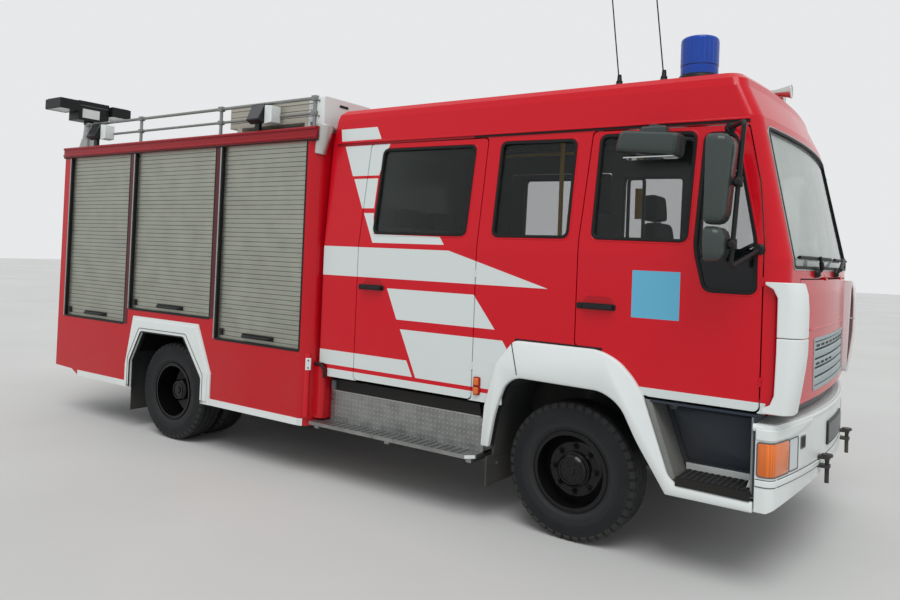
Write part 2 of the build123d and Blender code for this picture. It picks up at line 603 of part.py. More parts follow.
def write_running_gear():
    """Frame, axles, springs, power train, knuckles, tie rod and tanks."""
    web = box((FRAME_REAR, FRAME_FRONT), (-RAIL_OUT_Y, -RAIL_OUT_Y + RAIL_WIDTH), (RAIL_BOTTOM, RAIL_TOP))
    channel = (RAIL_BOTTOM + RAIL_THICK, RAIL_TOP - RAIL_THICK)
    web -= box((FRAME_REAR - 1, FRAME_FRONT + 1), (-RAIL_OUT_Y + RAIL_THICK, 0), channel)
    frame = web + left(web)
    for station in CROSS_STATIONS:
        reach = RAIL_OUT_Y - RAIL_THICK / 2
        frame += box((station - CROSS_HALF, station + CROSS_HALF), (-reach, reach), CROSS_Z)
    rail_y = RAIL_OUT_Y - RAIL_WIDTH / 2
    hanger_z = (SPRING_END_Z + SPRING_THICK / 2 - SPRING_FALL, RAIL_BOTTOM + 4)
    for axle, reach in ((0, FRONT_SPRING), (REAR_AXLE, REAR_SPRING)):
        for end in (axle - reach, axle + reach):
            hanger = box((end - 30, end + 30), (-rail_y - 32, -rail_y + 32), hanger_z)
            frame = frame + hanger + left(hanger)
    for station, top in MOUNTS:
        frame += pair(box((station - 60, station + 60), (-rail_y - 34, -rail_y + 34), (RAIL_TOP - 4, top - SEAT)))
    save("chassis_frame", frame)

    axle_z = TYRE_R
    beam = box((-48, 48), (-KINGPIN_Y + 50, KINGPIN_Y - 50), (axle_z - 55, axle_z + 40))
    flute_z = (axle_z - 37, axle_z + 22)
    beam -= [box(x, (-KINGPIN_Y, KINGPIN_Y), flute_z) for x in ((-49, -16), (16, 49))]
    seat_z = SPRING_MID_Z - SPRING_THICK / 2 - SEAT
    for side in (-1, 1):
        seat_y = sorted((side * (rail_y - 40), side * (rail_y + 40)))
        boss = disc((0, side * KINGPIN_Y, axle_z - BOSS_HALF), (0, 0, 1), 42, 2 * BOSS_HALF)
        neck = box((-40, 40), sorted((side * (KINGPIN_Y - 120), side * KINGPIN_Y)), (axle_z - 52, axle_z + 38))
        pin = disc((0, side * KINGPIN_Y, axle_z - BOSS_HALF - 44), (0, 0, 1), KINGPIN_R, 2 * BOSS_HALF + 88)
        seat = box((-60, 60), seat_y, (axle_z + 38, seat_z))
        beam = beam + boss + neck + pin + seat
    spindle_end = REAR_FACE_Y - TYRE_WIDTH / 2 - TWIN_PITCH / 2 + 142
    housing = bar((REAR_AXLE, -TUNNEL_HALF, axle_z), (REAR_AXLE, TUNNEL_HALF, axle_z), 60)
    housing += bar((REAR_AXLE, -spindle_end, axle_z), (REAR_AXLE, spindle_end, axle_z), SPINDLE_R)
    housing += Pos(REAR_AXLE, 0, axle_z) * Sphere(178)
    housing += bar((REAR_AXLE, 0, axle_z), (REAR_AXLE + 300, 0, axle_z + 20), 70)
    for side in (-1, 1):
        seat_y = sorted((side * (rail_y - 40), side * (rail_y + 40)))
        housing += box((REAR_AXLE - 60, REAR_AXLE + 60), seat_y, (axle_z, seat_z))
    save("axles", beam, housing)

    springs = []
    for axle, reach in ((0, FRONT_SPRING), (REAR_AXLE, REAR_SPRING)):
        ends = [(axle - reach - 35, SPRING_END_Z), (axle, SPRING_MID_Z), (axle + reach + 35, SPRING_END_Z)]
        low = [(x, z - SPRING_THICK / 2) for x, z in ends]
        high = [(x, z + SPRING_THICK / 2) for x, z in ends]
        edges = [ThreePointArc(*low), Line(low[2], high[2]), ThreePointArc(*reversed(high)), Line(high[0], low[0])]
        plane = Plane((0, -rail_y + 32, 0), x_dir=(1, 0, 0), z_dir=(0, -1, 0))
        springs.append(extrude(plane * make_face(edges), amount=64))
    save("leaf_springs", *pair(*springs))

    engine = box((-260, 820), (-330, 330), (500, 980))
    gearbox = box((-1040, -260), (-190, 190), (480, 760))
    shaft = bar((-1040, 0, 600), (REAR_AXLE + 300 + SEAT, 0, axle_z + 24), 42)
    inner = RAIL_OUT_Y - RAIL_THICK - SEAT
    mounts = [box((x - 45, x + 45), (-inner, inner), (640, 680)) for x in (620, -600)]
    save("power_train", engine + gearbox + shaft + mounts)

    write_knuckles()


def write_knuckles():
    """Steering knuckles with spindles and arms, and the tie rod between the arms."""
    z = TYRE_R
    lug_z = BOSS_HALF + SEAT
    inner = -KINGPIN_Y
    upright_y = (inner - 92, inner - 50)
    spindle_tip = -(FRONT_FACE_Y - TYRE_WIDTH / 2 + FRONT_DISC_OUT + 10)
    lugs = []
    for low, high in ((-lug_z - 40, -lug_z), (lug_z, lug_z + 40)):
        lug = disc((0, inner, z + low), (0, 0, 1), 44, high - low)
        lug += box((-44, 44), (upright_y[0], inner), (z + low, z + high))
        lugs.append(lug)
    knuckle = box((-44, 44), upright_y, (z - lug_z - 40, z + lug_z + 40)) + lugs
    knuckle += bar((0, upright_y[1], z), (0, spindle_tip, z), SPINDLE_R)
    plate = disc((0, upright_y[0] + 4, z), (0, -1, 0), DRUM_R - 22, 10)
    knuckle += plate
    arm_z = (z - lug_z - 40, z - lug_z - 12)
    arm = box((-STEER_ARM, -40), (inner - 20, inner + 20), arm_z) + box((-60, 0), (inner - 40, inner + 20), arm_z)
    arm += disc((-STEER_ARM, inner, arm_z[0]), (0, 0, 1), 24, arm_z[1] - arm_z[0])
    arm += disc((-STEER_ARM, inner, arm_z[0] - 40), (0, 0, 1), 9, 42)
    knuckle = knuckle + arm - disc((0, inner, z - 200), (0, 0, 1), KINGPIN_R + PIVOT_FIT, 400)
    save("knuckle_right", knuckle)
    save("knuckle_left", left(knuckle))
    rod_z = arm_z[0] - 22
    rod = bar((-STEER_ARM, -KINGPIN_Y, rod_z), (-STEER_ARM, KINGPIN_Y, rod_z), TIE_ROD_R)
    for side in (-1, 1):
        rod += disc((-STEER_ARM, side * KINGPIN_Y, rod_z - 17), (0, 0, 1), 22, 34)
    for side in (-1, 1):
        rod -= disc((-STEER_ARM, side * KINGPIN_Y, rod_z - 40), (0, 0, 1), 9.3, 80)
    save("tie_rod", rod)


def bumper_form(inset, low, high):
    """Solid of the bumper's bowed plan between two heights, drawn in by inset."""
    rear = BUMPER_REAR - inset
    corner = BUMPER_CORNER - inset
    half = BUMPER_HALF - inset
    edges = [
        Line((rear, half), (rear, -half)),
        Line((rear, -half), (corner, -half)),
        ThreePointArc((corner, -half), (BUMPER_FRONT - inset, 0), (corner, half)),
        Line((corner, half), (rear, half)),
    ]
    sketch = make_face(edges)
    return extrude(Pos(0, 0, low) * fillet(sketch.vertices().sort_by(Axis.X)[-2:], BUMPER_ROUND), amount=high - low)


def write_front():
    """Bumper with its lamps, towing pins, air deflectors and arch mouldings."""
    wall = bumper_form(0, BUMPER_LOW, BUMPER_HIGH) - bumper_form(BUMPER_WALL, BUMPER_LOW - 1, BUMPER_HIGH - 30)
    chin = ((BUMPER_REAR - 200, 300), (1500, 300), (1500, 640), (1150, BUMPER_LOW), (BUMPER_REAR - 200, BUMPER_LOW))
    wall -= side_prism(chin, WHOLE_WIDTH)
    bumper = wall
    lamps = []
    for x, (inner, outer), z in (INDICATOR, HEADLAMP):
        bumper -= pair(box(x, (-outer, -inner), z))
        lens = box((x[0] + SEAT, x[1]), (SEAT - outer, -inner - SEAT), (z[0] + SEAT, z[1] - SEAT))
        lamps.append(wall & lens)
    x, (inner, outer), z = BUMPER_ARM
    bumper += pair(box(x, (-outer, -inner), z))
    pins = []
    for y in (-TOW_PIN_Y, TOW_PIN_Y):
        plates = [box((1240, 1352), (y - 26, y + 26), (z, z + 18)) for z in (TOW_PIN_Z - 34, TOW_PIN_Z + 16)]
        pin = disc((FRONT_TIP - 30, y, TOW_PIN_Z - 120), (0, 0, 1), 12, 160)
        cap = disc((FRONT_TIP - 30, y, TOW_PIN_Z + 30), (0, 0, 1), 30, 14)
        bumper -= box((1150, 1400), (y - 30 - SEAT, y + 30 + SEAT), (TOW_PIN_Z - 34 - SEAT, TOW_PIN_Z + 34 + SEAT))
        pins.append(plates[0] + plates[1] + pin + cap + box((1230, 1256), (y - 30, y + 30), (TOW_PIN_Z - 34, TOW_PIN_Z + 34)))
    save("front_bumper", bumper)
    save("front_lamps", *pair(*lamps))
    save("towing_pins", *pins)

    skin = cab_form(-SEAT)
    plan = (
        (1145, -1120), (1145, -1160), (1232, -1160), (1296, -1102), (1306, -1020), (1282, -1000),
        (1200, -1000),
    )
    save("corner_deflectors", *pair(*[plan_prism(plan, z) - skin for z in DEFLECTORS]))

    arch = side_prism(ARCH_OUTER, (-ARCH_OUT_Y, -ARCH_IN_Y)) - side_prism(ARCH_INNER, (-ARCH_OUT_Y - 1, 1 - ARCH_IN_Y))
    save("front_arches", *pair(arch))


def write_steps():
    """Steps, mudguards with their flaps, and the tanks beside the frame."""
    low_y, high_y = CREW_STEP_Y
    rear, front = CREW_STEP
    tread = (
        (rear, -low_y), (rear, -high_y), (front - CREW_CHAMFER, -high_y), (front, CREW_CHAMFER - high_y),
        (front, -low_y),
    )
    crew = plan_prism(tread, CREW_TREAD)
    start = FRONT_BOX_X + 12
    riser = ((start, CREW_TREAD[0]), (front, CREW_TREAD[0]), (front, 600), (front - 45, 745), (start, 745))
    crew += side_prism(riser, (-low_y - 12, -low_y))
    for station in (-1990, -1320, -640):
        crew += box((station - 20, station + 20), (-high_y + 30, -RAIL_OUT_Y - SEAT), (CREW_TREAD[0] - 27, CREW_TREAD[0] + 1))
        crew += box((station - 20, station + 20), (-RAIL_OUT_Y - 40, -RAIL_OUT_Y - SEAT), (CREW_TREAD[0] - 27, RAIL_TOP - 100))
    recess = side_prism(STEP_RECESS, (-1140, -920), inset=-12) - side_prism(STEP_RECESS, (-1300, -934))
    tread = box((690, 1074), (-1158, -950), (TREAD_HIGH - 2, TREAD_HIGH + 18))
    save("cab_steps", *pair(crew))
    save("step_boxes", *pair(recess + tread))

    outer = side_prism([*GUARD_LINE, (0, 560), (-480, 440)], (-ARCH_IN_Y + SEAT, -GUARD_IN_Y), inset=-GUARD_THICK)
    guard = outer - side_prism([*GUARD_LINE, (600, 300), (-512, 300)], (-1200, -500))
    guard = max(guard.solids(), key=lambda solid: solid.volume)
    flap = box((-528, -516), (-ARCH_OUT_Y + 10, -640), (250, 440 - SEAT)) + box((-528, -516), (-ARCH_IN_Y + SEAT, -640), (430, 500))
    house_rear = WHEELHOUSE[0][0]
    rear_flap = box((house_rear + SEAT, house_rear + 10), (48 - BODY_HALF, -TUNNEL_HALF - 10), (170, 700))
    save("mudguards", *pair(guard + flap, rear_flap))

    x, (inner, outer), z = TANK
    tank = box(x, (-outer, -inner), z)
    for start in (x[0] + 100, x[1] - 400):
        tank += box((start, start + 300), (-inner - 1, -RAIL_OUT_Y - SEAT), (RAIL_BOTTOM, RAIL_BOTTOM + 80))
    save("side_tanks", *pair(tank))


def curtain_profile(face, inward, low):
    """Section of a roller shutter: (depth, height) points, with a groove between each pair of slats."""
    high = LOCKER_HEAD - SEAT
    back = face + inward * SHUTTER_THICK
    points = [(back, low), (back, high), (face, high)]
    count = int((high - low) / SLAT_PITCH)
    for slat in range(count, 0, -1):
        z = low + slat * SLAT_PITCH - SLAT_GROOVE
        if z + SLAT_GROOVE < high - SLAT_GROOVE:
            points += [(face, z + SLAT_GROOVE), (face + inward * SLAT_GROOVE, z + SLAT_GROOVE / 2), (face, z)]
    return [*points, (face, low)]


def write_body():
    """Locker body with its shutters, arches, white strips and roof."""
    side = (
        (BODY_REAR, BODY_LOW), (STRIP_CUT - 120, BODY_LOW - 10), (STRIP_CUT, STRIP_LOW), (BODY_FRONT, STRIP_LOW),
        (BODY_FRONT, BODY_TOP), (BODY_REAR, BODY_TOP),
    )
    form = side_prism(side, (-BODY_HALF, BODY_HALF))
    shell = fillet([edge for edge in form.edges().filter_by(Axis.Z) if edge.center().X > BODY_FRONT - 1], PILLAR_R)
    front_box = box((BODY_FRONT - 120, FRONT_BOX_X), (-FRONT_BOX_HALF, -TUNNEL_HALF), (BODY_LOW, FRONT_BOX_TOP))
    corner = front_box.edges().filter_by(Axis.Z).group_by(Axis.X)[-1].sort_by(Axis.Y)[0]
    shell += pair(fillet(corner, FRONT_BOX_ROUND))
    shell -= box((BODY_REAR - 1, BODY_FRONT + 1), (-TUNNEL_HALF, TUNNEL_HALF), (0, TUNNEL_TOP))
    inside = BODY_HALF - BODY_WALL
    house_x, house_top = WHEELHOUSE
    shell -= pair(box(house_x, (-inside, 1 - TUNNEL_HALF), (0, house_top)))
    shell -= pair(side_prism(REAR_ARCH_OUTER, (-BODY_HALF - 1, 1 - inside), inset=-SEAT))
    curtains = []
    for rear, front, room_rear, room_front, sill, floor in LOCKERS:
        room = box((room_rear, room_front), (-inside, inside), (floor, BODY_TOP - BODY_WALL))
        tunnel = box((room_rear - 1, room_front + 1), (-TUNNEL_HALF - 30, TUNNEL_HALF + 30), (0, TUNNEL_TOP + 30))
        shell = shell - (room - tunnel) - pair(box((rear, front), (-BODY_HALF - 1, 1 - inside), (sill, LOCKER_HEAD)))
        profile = curtain_profile(SHUTTER_DEPTH - BODY_HALF, 1, sill + SEAT)
        curtains += pair(front_prism(profile, (rear + SEAT, front - SEAT)))
    half = REAR_LOCKER_HALF
    shell -= box((BODY_REAR - 1, LOCKERS[0][2] + 1), (-half, half), (REAR_LOCKER_SILL, LOCKER_HEAD))
    profile = curtain_profile(BODY_REAR + SHUTTER_DEPTH, 1, REAR_LOCKER_SILL + SEAT)
    curtains.append(side_prism(profile, (SEAT - half, half - SEAT)))
    mast_bore = disc((*MAST, BODY_TOP - 200), (0, 0, 1), MAST_TUBE_R + SEAT, 400)
    save("body_shell", shell - mast_bore)
    save("roller_shutters", *curtains)

    out = -BODY_HALF - REAR_ARCH_OUT
    arch = side_prism(REAR_ARCH_OUTER, (out, -inside))
    arch += side_prism(REAR_ARCH_OUTER, (out - REAR_ARCH_STEP, out), inset=REAR_ARCH_EDGE)
    arch -= side_prism(REAR_ARCH_INNER, (-2000, 0))
    strips = [
        box(x, (-BODY_HALF - 8, -BODY_HALF - SEAT), (STRIP_LOW, STRIP_HIGH))
        for x in ((REAR_ARCH_OUTER[-1][0] + SEAT, BODY_FRONT - PILLAR_R), (STRIP_CUT, REAR_ARCH_OUTER[0][0] - SEAT))
    ]
    save("rear_arches", *pair(arch, *strips))

    deck = box((BODY_REAR, BODY_FRONT), (-BODY_HALF, BODY_HALF), (BODY_TOP + SEAT, DECK_HIGH))
    edge = BODY_REAR - CORNICE_OUT
    wide = BODY_HALF + CORNICE_OUT
    cornice = box((edge, BODY_FRONT), (-wide, wide), (CORNICE_LOW, CORNICE_HIGH))
    cornice -= box((edge + 30, BODY_FRONT + 1), (-wide + 30, wide - 30), (BODY_TOP, CORNICE_HIGH + 1))
    cornice -= box((BODY_REAR - SEAT, BODY_FRONT + 1), (-BODY_HALF - SEAT, BODY_HALF + SEAT), (0, BODY_TOP + SEAT))
    save("body_roof", deck + cornice - mast_bore)


def write_body_fittings():
    """Gallery, roof box, area lights, rear lamps, ladder and rear guard."""
    floor = DECK_HIGH + SEAT
    first, last = RAIL_POSTS[0], RAIL_POSTS[-1]
    gallery = bar((first, -RAIL_Y, RAIL_HIGH), (last, -RAIL_Y, RAIL_HIGH), RAIL_R)
    gallery += bar((first, -RAIL_Y, RAIL_MID), (last, -RAIL_Y, RAIL_MID), RAIL_R - 2)
    for station in RAIL_POSTS:
        gallery += disc((station, -RAIL_Y, floor), (0, 0, 1), RAIL_R + 1, RAIL_HIGH - floor)
        gallery += disc((station, -RAIL_Y, floor), (0, 0, 1), 34, 8)
    save("roof_gallery", *pair(gallery))

    x, y, z = ROOF_BOX
    feet = [box((station - 30, station + 30), y, (floor, z[0] + 1)) for station in (x[0] + 120, x[1] - 120)]
    save("roof_box", box(x, y, z) + feet)

    lights = []
    for station in AREA_LIGHTS:
        foot = box((station - 25, station + 25), (-BODY_HALF, 30 - BODY_HALF), (CORNICE_HIGH + SEAT, CORNICE_HIGH + 90))
        head = Pos(station, 8 - BODY_HALF, CORNICE_HIGH + 140) * Rot(-25, 0, 0) * Box(150, 60, 150)
        lights.append(foot + head)
    save("area_lights", *pair(*lights))

    lamp_y = (30 - BODY_HALF, 140 - BODY_HALF)
    lamps = [box((BODY_REAR - 30, BODY_REAR - SEAT), lamp_y, (z, z + 130)) for z in (560, 700, 840)]
    save("tail_lamps", *pair(*lamps))

    middle = REAR_TIP + 16
    stiles = [box((REAR_TIP, REAR_TIP + 32), (y - 14, y + 14), (LADDER_LOW, LADDER_HIGH)) for y in LADDER_Y]
    rungs = [bar((middle, LADDER_Y[0], z), (middle, LADDER_Y[1], z), 13) for z in range(640, 2700, 290)]
    stay_x = (middle, BODY_REAR - SEAT)
    stays = [box(stay_x, (y - 14, y + 14), (z, z + 36)) for y in LADDER_Y for z in (760, 1500, 2400)]
    save("rear_ladder", stiles[0] + stiles[1:] + rungs + stays)

    guard = box((BODY_REAR + 40, BODY_REAR + 120), (30 - TUNNEL_HALF, TUNNEL_HALF - 30), (450, 530))
    arm_y = RAIL_OUT_Y - RAIL_WIDTH / 2
    arm_x = (BODY_REAR + 55, FRAME_REAR + 40)
    guard += [box(arm_x, (y - 28, y + 28), (500, RAIL_BOTTOM - SEAT)) for y in (-arm_y, arm_y)]
    x, y = TOW_EYE
    jaw = box((x + 80, CROSS_STATIONS[-1] - CROSS_HALF - SEAT), (-90, 90), (RAIL_BOTTOM + 20, RAIL_TOP - 20))
    for low in (RAIL_BOTTOM + 50, RAIL_TOP - 80):
        jaw += box((x, x + 90), (y - TOW_EYE_R, y + TOW_EYE_R), (low, low + 30))
        jaw += disc((x, y, low), (0, 0, 1), TOW_EYE_R, 30)
    jaw -= disc((x, y, RAIL_BOTTOM), (0, 0, 1), TOW_BORE_R, 200)
    save("rear_guard", guard, jaw)


def write_roof_gear():
    """Beacons, horns and aerials on the cab's roof, and the light mast."""
    floor = ROOF_Z + SEAT
    beacons = []
    for y in (-BEACON_Y, BEACON_Y):
        dome = disc((BEACON_STATION, y, floor + 30), (0, 0, 1), BEACON_R, BEACON_HIGH - floor - 30)
        dome = fillet(dome.edges().sort_by(Axis.Z)[-1:], 20)
        beacons.append(dome + disc((BEACON_STATION, y, floor), (0, 0, 1), BEACON_R + 8, 31))
    save("beacons", *beacons)

    horns = []
    for y, tip in HORNS:
        z = ROOF_Z + 62
        bell = extrude(Plane((tip - 90, y, z), z_dir=(1, 0, 0)) * Circle(20), amount=90, taper=-14)
        stand = box((720, 760), (y - 20, y + 20), (floor, z))
        horns.append(bar((700, y, z), (tip - 89, y, z), 19) + bell + stand)
    save("air_horns", *horns)

    aerials = []
    for station in AERIALS:
        foot = disc((station, AERIAL_Y, floor), (0, 0, 1), 20, 36)
        tip = (station - AERIAL_LEAN, AERIAL_Y, ROOF_Z + AERIAL_RISE)
        aerials.append(foot + bar((station, AERIAL_Y, ROOF_Z + 20), tip, AERIAL_R))
    save("aerials", *aerials)

    x, y = MAST
    radius = MAST_TUBE_R
    base = MAST_BASE
    for name, top in (("mast_tube", MAST_TUBE_TOP), ("mast_stage_low", MAST_TUBE_TOP + 45), ("mast_stage_high", MAST_TOP)):
        stage = disc((x, y, base), (0, 0, 1), radius, top - base)
        radius -= MAST_WALL
        closed_end = base + 20 if top < MAST_TOP else top - 20
        open_end = top + 1 if top < MAST_TOP else base - 1
        save(name, stage - bar((x, y, closed_end), (x, y, open_end), radius))
        radius -= MAST_FIT
        base += 20 + SEAT

    shaft_z = LAMP_TILT_Z
    head = disc((x, y, MAST_TOP + SEAT), (0, 0, 1), 46, 40)
    head += box((x - 90, x + 90), (y - 160, y + 160), (MAST_TOP + 30, shaft_z + 65))
    head -= bar((x, y - 200, shaft_z), (x, y + 200, shaft_z), LAMP_SHAFT_R + PIN_FIT)
    deep, wide, thick = LAMP_SIZE
    lamps = bar((x, y - 250, shaft_z), (x, y + 250, shaft_z), LAMP_SHAFT_R)
    for side in (-1, 1):
        lamps += Pos(x, y + side * (170 + wide / 2), shaft_z) * Box(deep, wide, thick)
    save("mast_head", head)
    save("floodlights", lamps)


def make_seat(back, y, width, floor):
    """A plain seat: its base, cushion and back with a head restraint's height."""
    half = width / 2
    base = box((back + 20, back + 400), (y - half + 50, y + half - 50), (floor + SEAT, floor + 310))
    cushion = box((back, back + 470), (y - half, y + half), (floor + 300, floor + 420))
    rest = ((back, floor + 360), (back + 90, floor + 360), (back + 10, floor + 1190), (back - 70, floor + 1190))
    return base + cushion + side_prism(rest, (y - half, y + half))


def write_inside():
    """Dashboard, steering wheel, seats and the outside mirrors."""
    lean = Vector(-cos(radians(STEERING_LEAN)), 0, sin(radians(STEERING_LEAN)))
    centre = Vector(*STEERING_WHEEL)
    x = FIREWALL[0] - SEAT
    low = FRONT_FLOOR + SEAT
    shape = ((770, low), (x, low), (x, 1700 + SEAT), (1400, 1700 + SEAT), (1400, 1716), (1000, 1716), (850, 1650), (810, 1500))
    dash = side_prism(shape, (-1060, 1060)) & cab_form(CAB_WALL + 1)
    column = extrude(Plane(centre - lean * 650, z_dir=lean) * Circle(COLUMN_R + 24), amount=520)
    shaft = Plane(centre - lean * 560, z_dir=lean) * Circle(COLUMN_R + SEAT)
    dash = dash + (column & box((600, x), (0, 1000), (low, 1800))) - extrude(shaft, amount=700)
    save("dashboard", dash)

    plane = Plane(centre, z_dir=lean)
    wheel = plane * Torus(WHEEL_RIM_R, 15)
    for angle in (90, 210, 330):
        wheel += plane * Rot(0, 0, angle) * Pos(WHEEL_RIM_R / 2, 0, -12) * Box(WHEEL_RIM_R, 34, 12)
    wheel += extrude(Plane(centre - lean * 40, z_dir=lean) * Circle(52), amount=44)
    wheel += extrude(Plane(centre - lean * 520, z_dir=lean) * Circle(COLUMN_R), amount=500)
    save("steering_wheel", wheel)
    save("cab_seats", *[make_seat(*row) for row in SEATS])

    skin = cab_form(-2 * SEAT)
    arm = bent_bar(MIRROR_ARM, MIRROR_ARM_R, 50) - skin
    mirrors = arm.solids().sort_by(Axis.Y)[0]
    for low, high, clamp in MIRROR_HOUSINGS:
        housing = box(MIRROR_X, MIRROR_Y, (low, high))
        mirrors += fillet(housing.edges().filter_by(Axis.Z) + housing.edges().filter_by(Axis.Y), 30)
        mirrors += box((MIRROR_X[1] - 20, 1008), (-1372, -1328), (clamp - 22, clamp + 22))
    save("mirrors_left", left(mirrors))
    kerb = box(*KERB_MIRROR)
    kerb = fillet(kerb.edges().filter_by(Axis.X), 45) + box((460, 530), (-1200, -1000), (2430, 2482))
    save("mirrors_right", mirrors, kerb - skin)


os.makedirs("parts", exist_ok=True)
write_cab()
write_wheels()
write_running_gear()
write_front()
write_steps()
write_body()
write_body_fittings()
write_roof_gear()
write_inside()
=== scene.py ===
"""Looks of the fire engine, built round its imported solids.

Metres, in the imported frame: +X is forward, +Y the left side, +Z up. Stations are measured from
the front axle, forward positive, and each right-hand piece is drawn once and mirrored.
"""
import math
from collections import defaultdict
from functools import partialmethod, reduce

import bmesh
import bpy
from mathutils import Matrix, Vector


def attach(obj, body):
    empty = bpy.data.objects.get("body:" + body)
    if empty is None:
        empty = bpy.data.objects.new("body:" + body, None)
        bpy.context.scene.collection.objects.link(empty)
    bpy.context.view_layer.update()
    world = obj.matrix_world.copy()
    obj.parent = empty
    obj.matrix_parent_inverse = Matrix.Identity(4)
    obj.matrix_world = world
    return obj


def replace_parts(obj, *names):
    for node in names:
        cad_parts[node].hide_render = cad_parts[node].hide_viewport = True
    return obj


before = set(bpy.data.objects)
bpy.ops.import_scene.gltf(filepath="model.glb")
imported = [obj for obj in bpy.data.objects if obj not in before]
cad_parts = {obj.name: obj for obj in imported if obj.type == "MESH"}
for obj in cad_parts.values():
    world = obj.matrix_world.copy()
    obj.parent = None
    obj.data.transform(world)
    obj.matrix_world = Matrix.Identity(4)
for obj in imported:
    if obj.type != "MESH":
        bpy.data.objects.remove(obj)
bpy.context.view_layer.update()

AXLE = 2.182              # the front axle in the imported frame
REAR_AXLE = -3.767
TYRE_R = 0.421
BELT_Z = 1.76
ROOF_Z = 2.795
CAB_REAR = -2.03
BODY_HALF = 1.22
BODY_REAR = -5.6
DECK_Z = 2.622
CORNICE_END = -2.062
MAST = (-5.490, -1.060)   # station and width
HORN_Z = 2.857
GALLERY_Y = -1.120
TREAD_BLOCKS = 44         # round each shoulder of a tyre
WHEEL_NUTS = (8, 0.1375)  # count, radius of their circle
BEACON_RIBS = (24, 0.1072)

# Skin of the cab, as the solids have it: height, half width, corner and centre of the bowed front
CAB_SKIN = (
    (0.775, 1.130, 1.215, 1.290),
    (BELT_Z, 1.130, 1.215, 1.290),
    (2.530, 1.072, 1.042, 1.122),
    (2.705, 1.052, 0.960, 1.035),
)
# Where the cab's inside begins: shares of station, station behind the bow, width and height, and
# the sum that they stay under
TRIM_LIMITS = (
    (0, 0, 1, 0, 1.110),
    (0, 0, 1, 0.0753, 1.110 + 0.0753 * BELT_Z),
    (0, 1, 0, 0, 1.266),
    (0, 1, 0, 0.225, 1.266 + 0.225 * BELT_Z),
    (-1, 0, 0, 0, -CAB_REAR - 0.02),
    (0, 0, 0, 1, 2.765),
    (0, 1, 0, 0.5, 2.365),
    (0, 0, 1, 1, 3.735),
    (0, 1, 0, 1, 3.715),
    (-1, 0, 0, 1, 4.720),
    (1, 0, 1, 0, 2.262),
    (1, 0, 1, 0.3, 2.262 + 0.3 * BELT_Z),
    (1, 0, 1, 0.583, 3.505),
)

# Outlines in side view, (station, height)
CREW_WINDOW = ((-1.560, 1.848), (-0.764, 1.846), (-0.728, 2.452), (-1.522, 2.460))
MID_WINDOW = ((-0.558, 1.845), (-0.023, 1.846), (0.0, 2.450), (-0.532, 2.460))
FRONT_WINDOW = ((0.132, 1.846), (0.697, 1.838), (0.722, 2.452), (0.155, 2.466))
QUARTER_WINDOW = (
    (0.795, 1.570), (1.068, 1.570), (1.064, 1.840), (0.938, 2.440), (0.766, 2.440), (0.738, 1.810),
)
SCREEN = ((-1.030, 1.722), (1.030, 1.722), (0.978, 2.468), (-0.978, 2.468))

# White stripes on the cab's sides, (station, height) of their corners, clockwise from the top rear
STRIPES = (
    ((-1.966, 2.634), (-1.612, 2.634), (-1.560, 2.541), (-1.946, 2.541)),
    ((-1.906, 2.500), (-1.472, 2.500), (-1.550, 2.272), (-1.806, 2.272)),
    ((-1.788, 2.250), (-1.558, 2.250), (-1.572, 2.031), (-1.686, 2.031)),
    ((-1.664, 1.996), (-1.570, 1.996), (-1.549, 1.843), (-1.589, 1.843)),
    ((-1.589, 1.843), (-0.969, 1.834), (-0.930, 1.781), (-1.559, 1.781)),
    ((-2.096, 1.748), (-0.888, 1.743), (-0.140, 1.530), (-2.096, 1.530)),
    ((-1.405, 1.461), (-0.677, 1.461), (-0.507, 1.248), (-1.310, 1.248)),
    ((-1.275, 1.183), (-0.448, 1.183), (-0.390, 1.100), (-1.235, 1.100)),
    ((-1.235, 1.100), (-0.390, 1.100), (-0.390, 0.863), (-1.125, 0.863)),
    ((-2.087, 0.972), (-1.208, 0.972), (-1.153, 0.865), (-2.087, 0.865)),
    ((-2.087, 0.835), (-0.400, 0.835), (-0.400, 0.770), (-2.087, 0.770)),
    ((0.440, 1.012), (1.130, 1.012), (1.130, 0.950), (0.440, 0.950)),
)
BLUE_SQUARE = ((0.395, 1.669), (0.670, 1.669), (0.670, 1.400), (0.395, 1.400))

# Front arch moulding, side view: its outer line from the rear foot to the sill, then its inner line
ARCH_LINE = (
    (-0.568, 0.505), (-0.552, 0.760), (-0.478, 1.040), (-0.352, 1.196), (0.284, 1.196), (0.468, 1.016),
    (0.655, 0.514), (1.085, 0.500), (1.085, 0.446), (0.630, 0.446), (0.453, 0.711), (0.320, 0.957),
    (-0.387, 0.967), (-0.474, 0.720), (-0.510, 0.505),
)
# Reach of the rounding at some corners of that line
ARCH_ROUND = {2: 0.03, 3: 0.03, 4: 0.12, 5: 0.09, 6: 0.06, 10: 0.04, 11: 0.13, 12: 0.10, 13: 0.05}
ARCH_INNER = -1.075
REAR_ARCH_EDGE = (
    (-0.533, 0.400), (-0.533, 0.640), (-0.379, 0.915), (0.233, 0.920), (0.483, 0.602), (0.483, 0.400),
)

# Roller shutters: rear and front station, sill
SHUTTERS = ((-5.469, -4.457, 0.962), (-4.371, -3.228, 1.105), (-3.140, -2.165, 0.946))
SHUTTER_HEAD = 2.538
REAR_SHUTTER_SILL = 0.940


def tone(red, green, blue):
    """Linear colour of display values out of 255."""
    return tuple(((value / 255 + 0.055) / 1.055) ** 2.4 for value in (red, green, blue))


def shade(colour, share):
    """A colour made darker."""
    return tuple(share * value for value in colour)


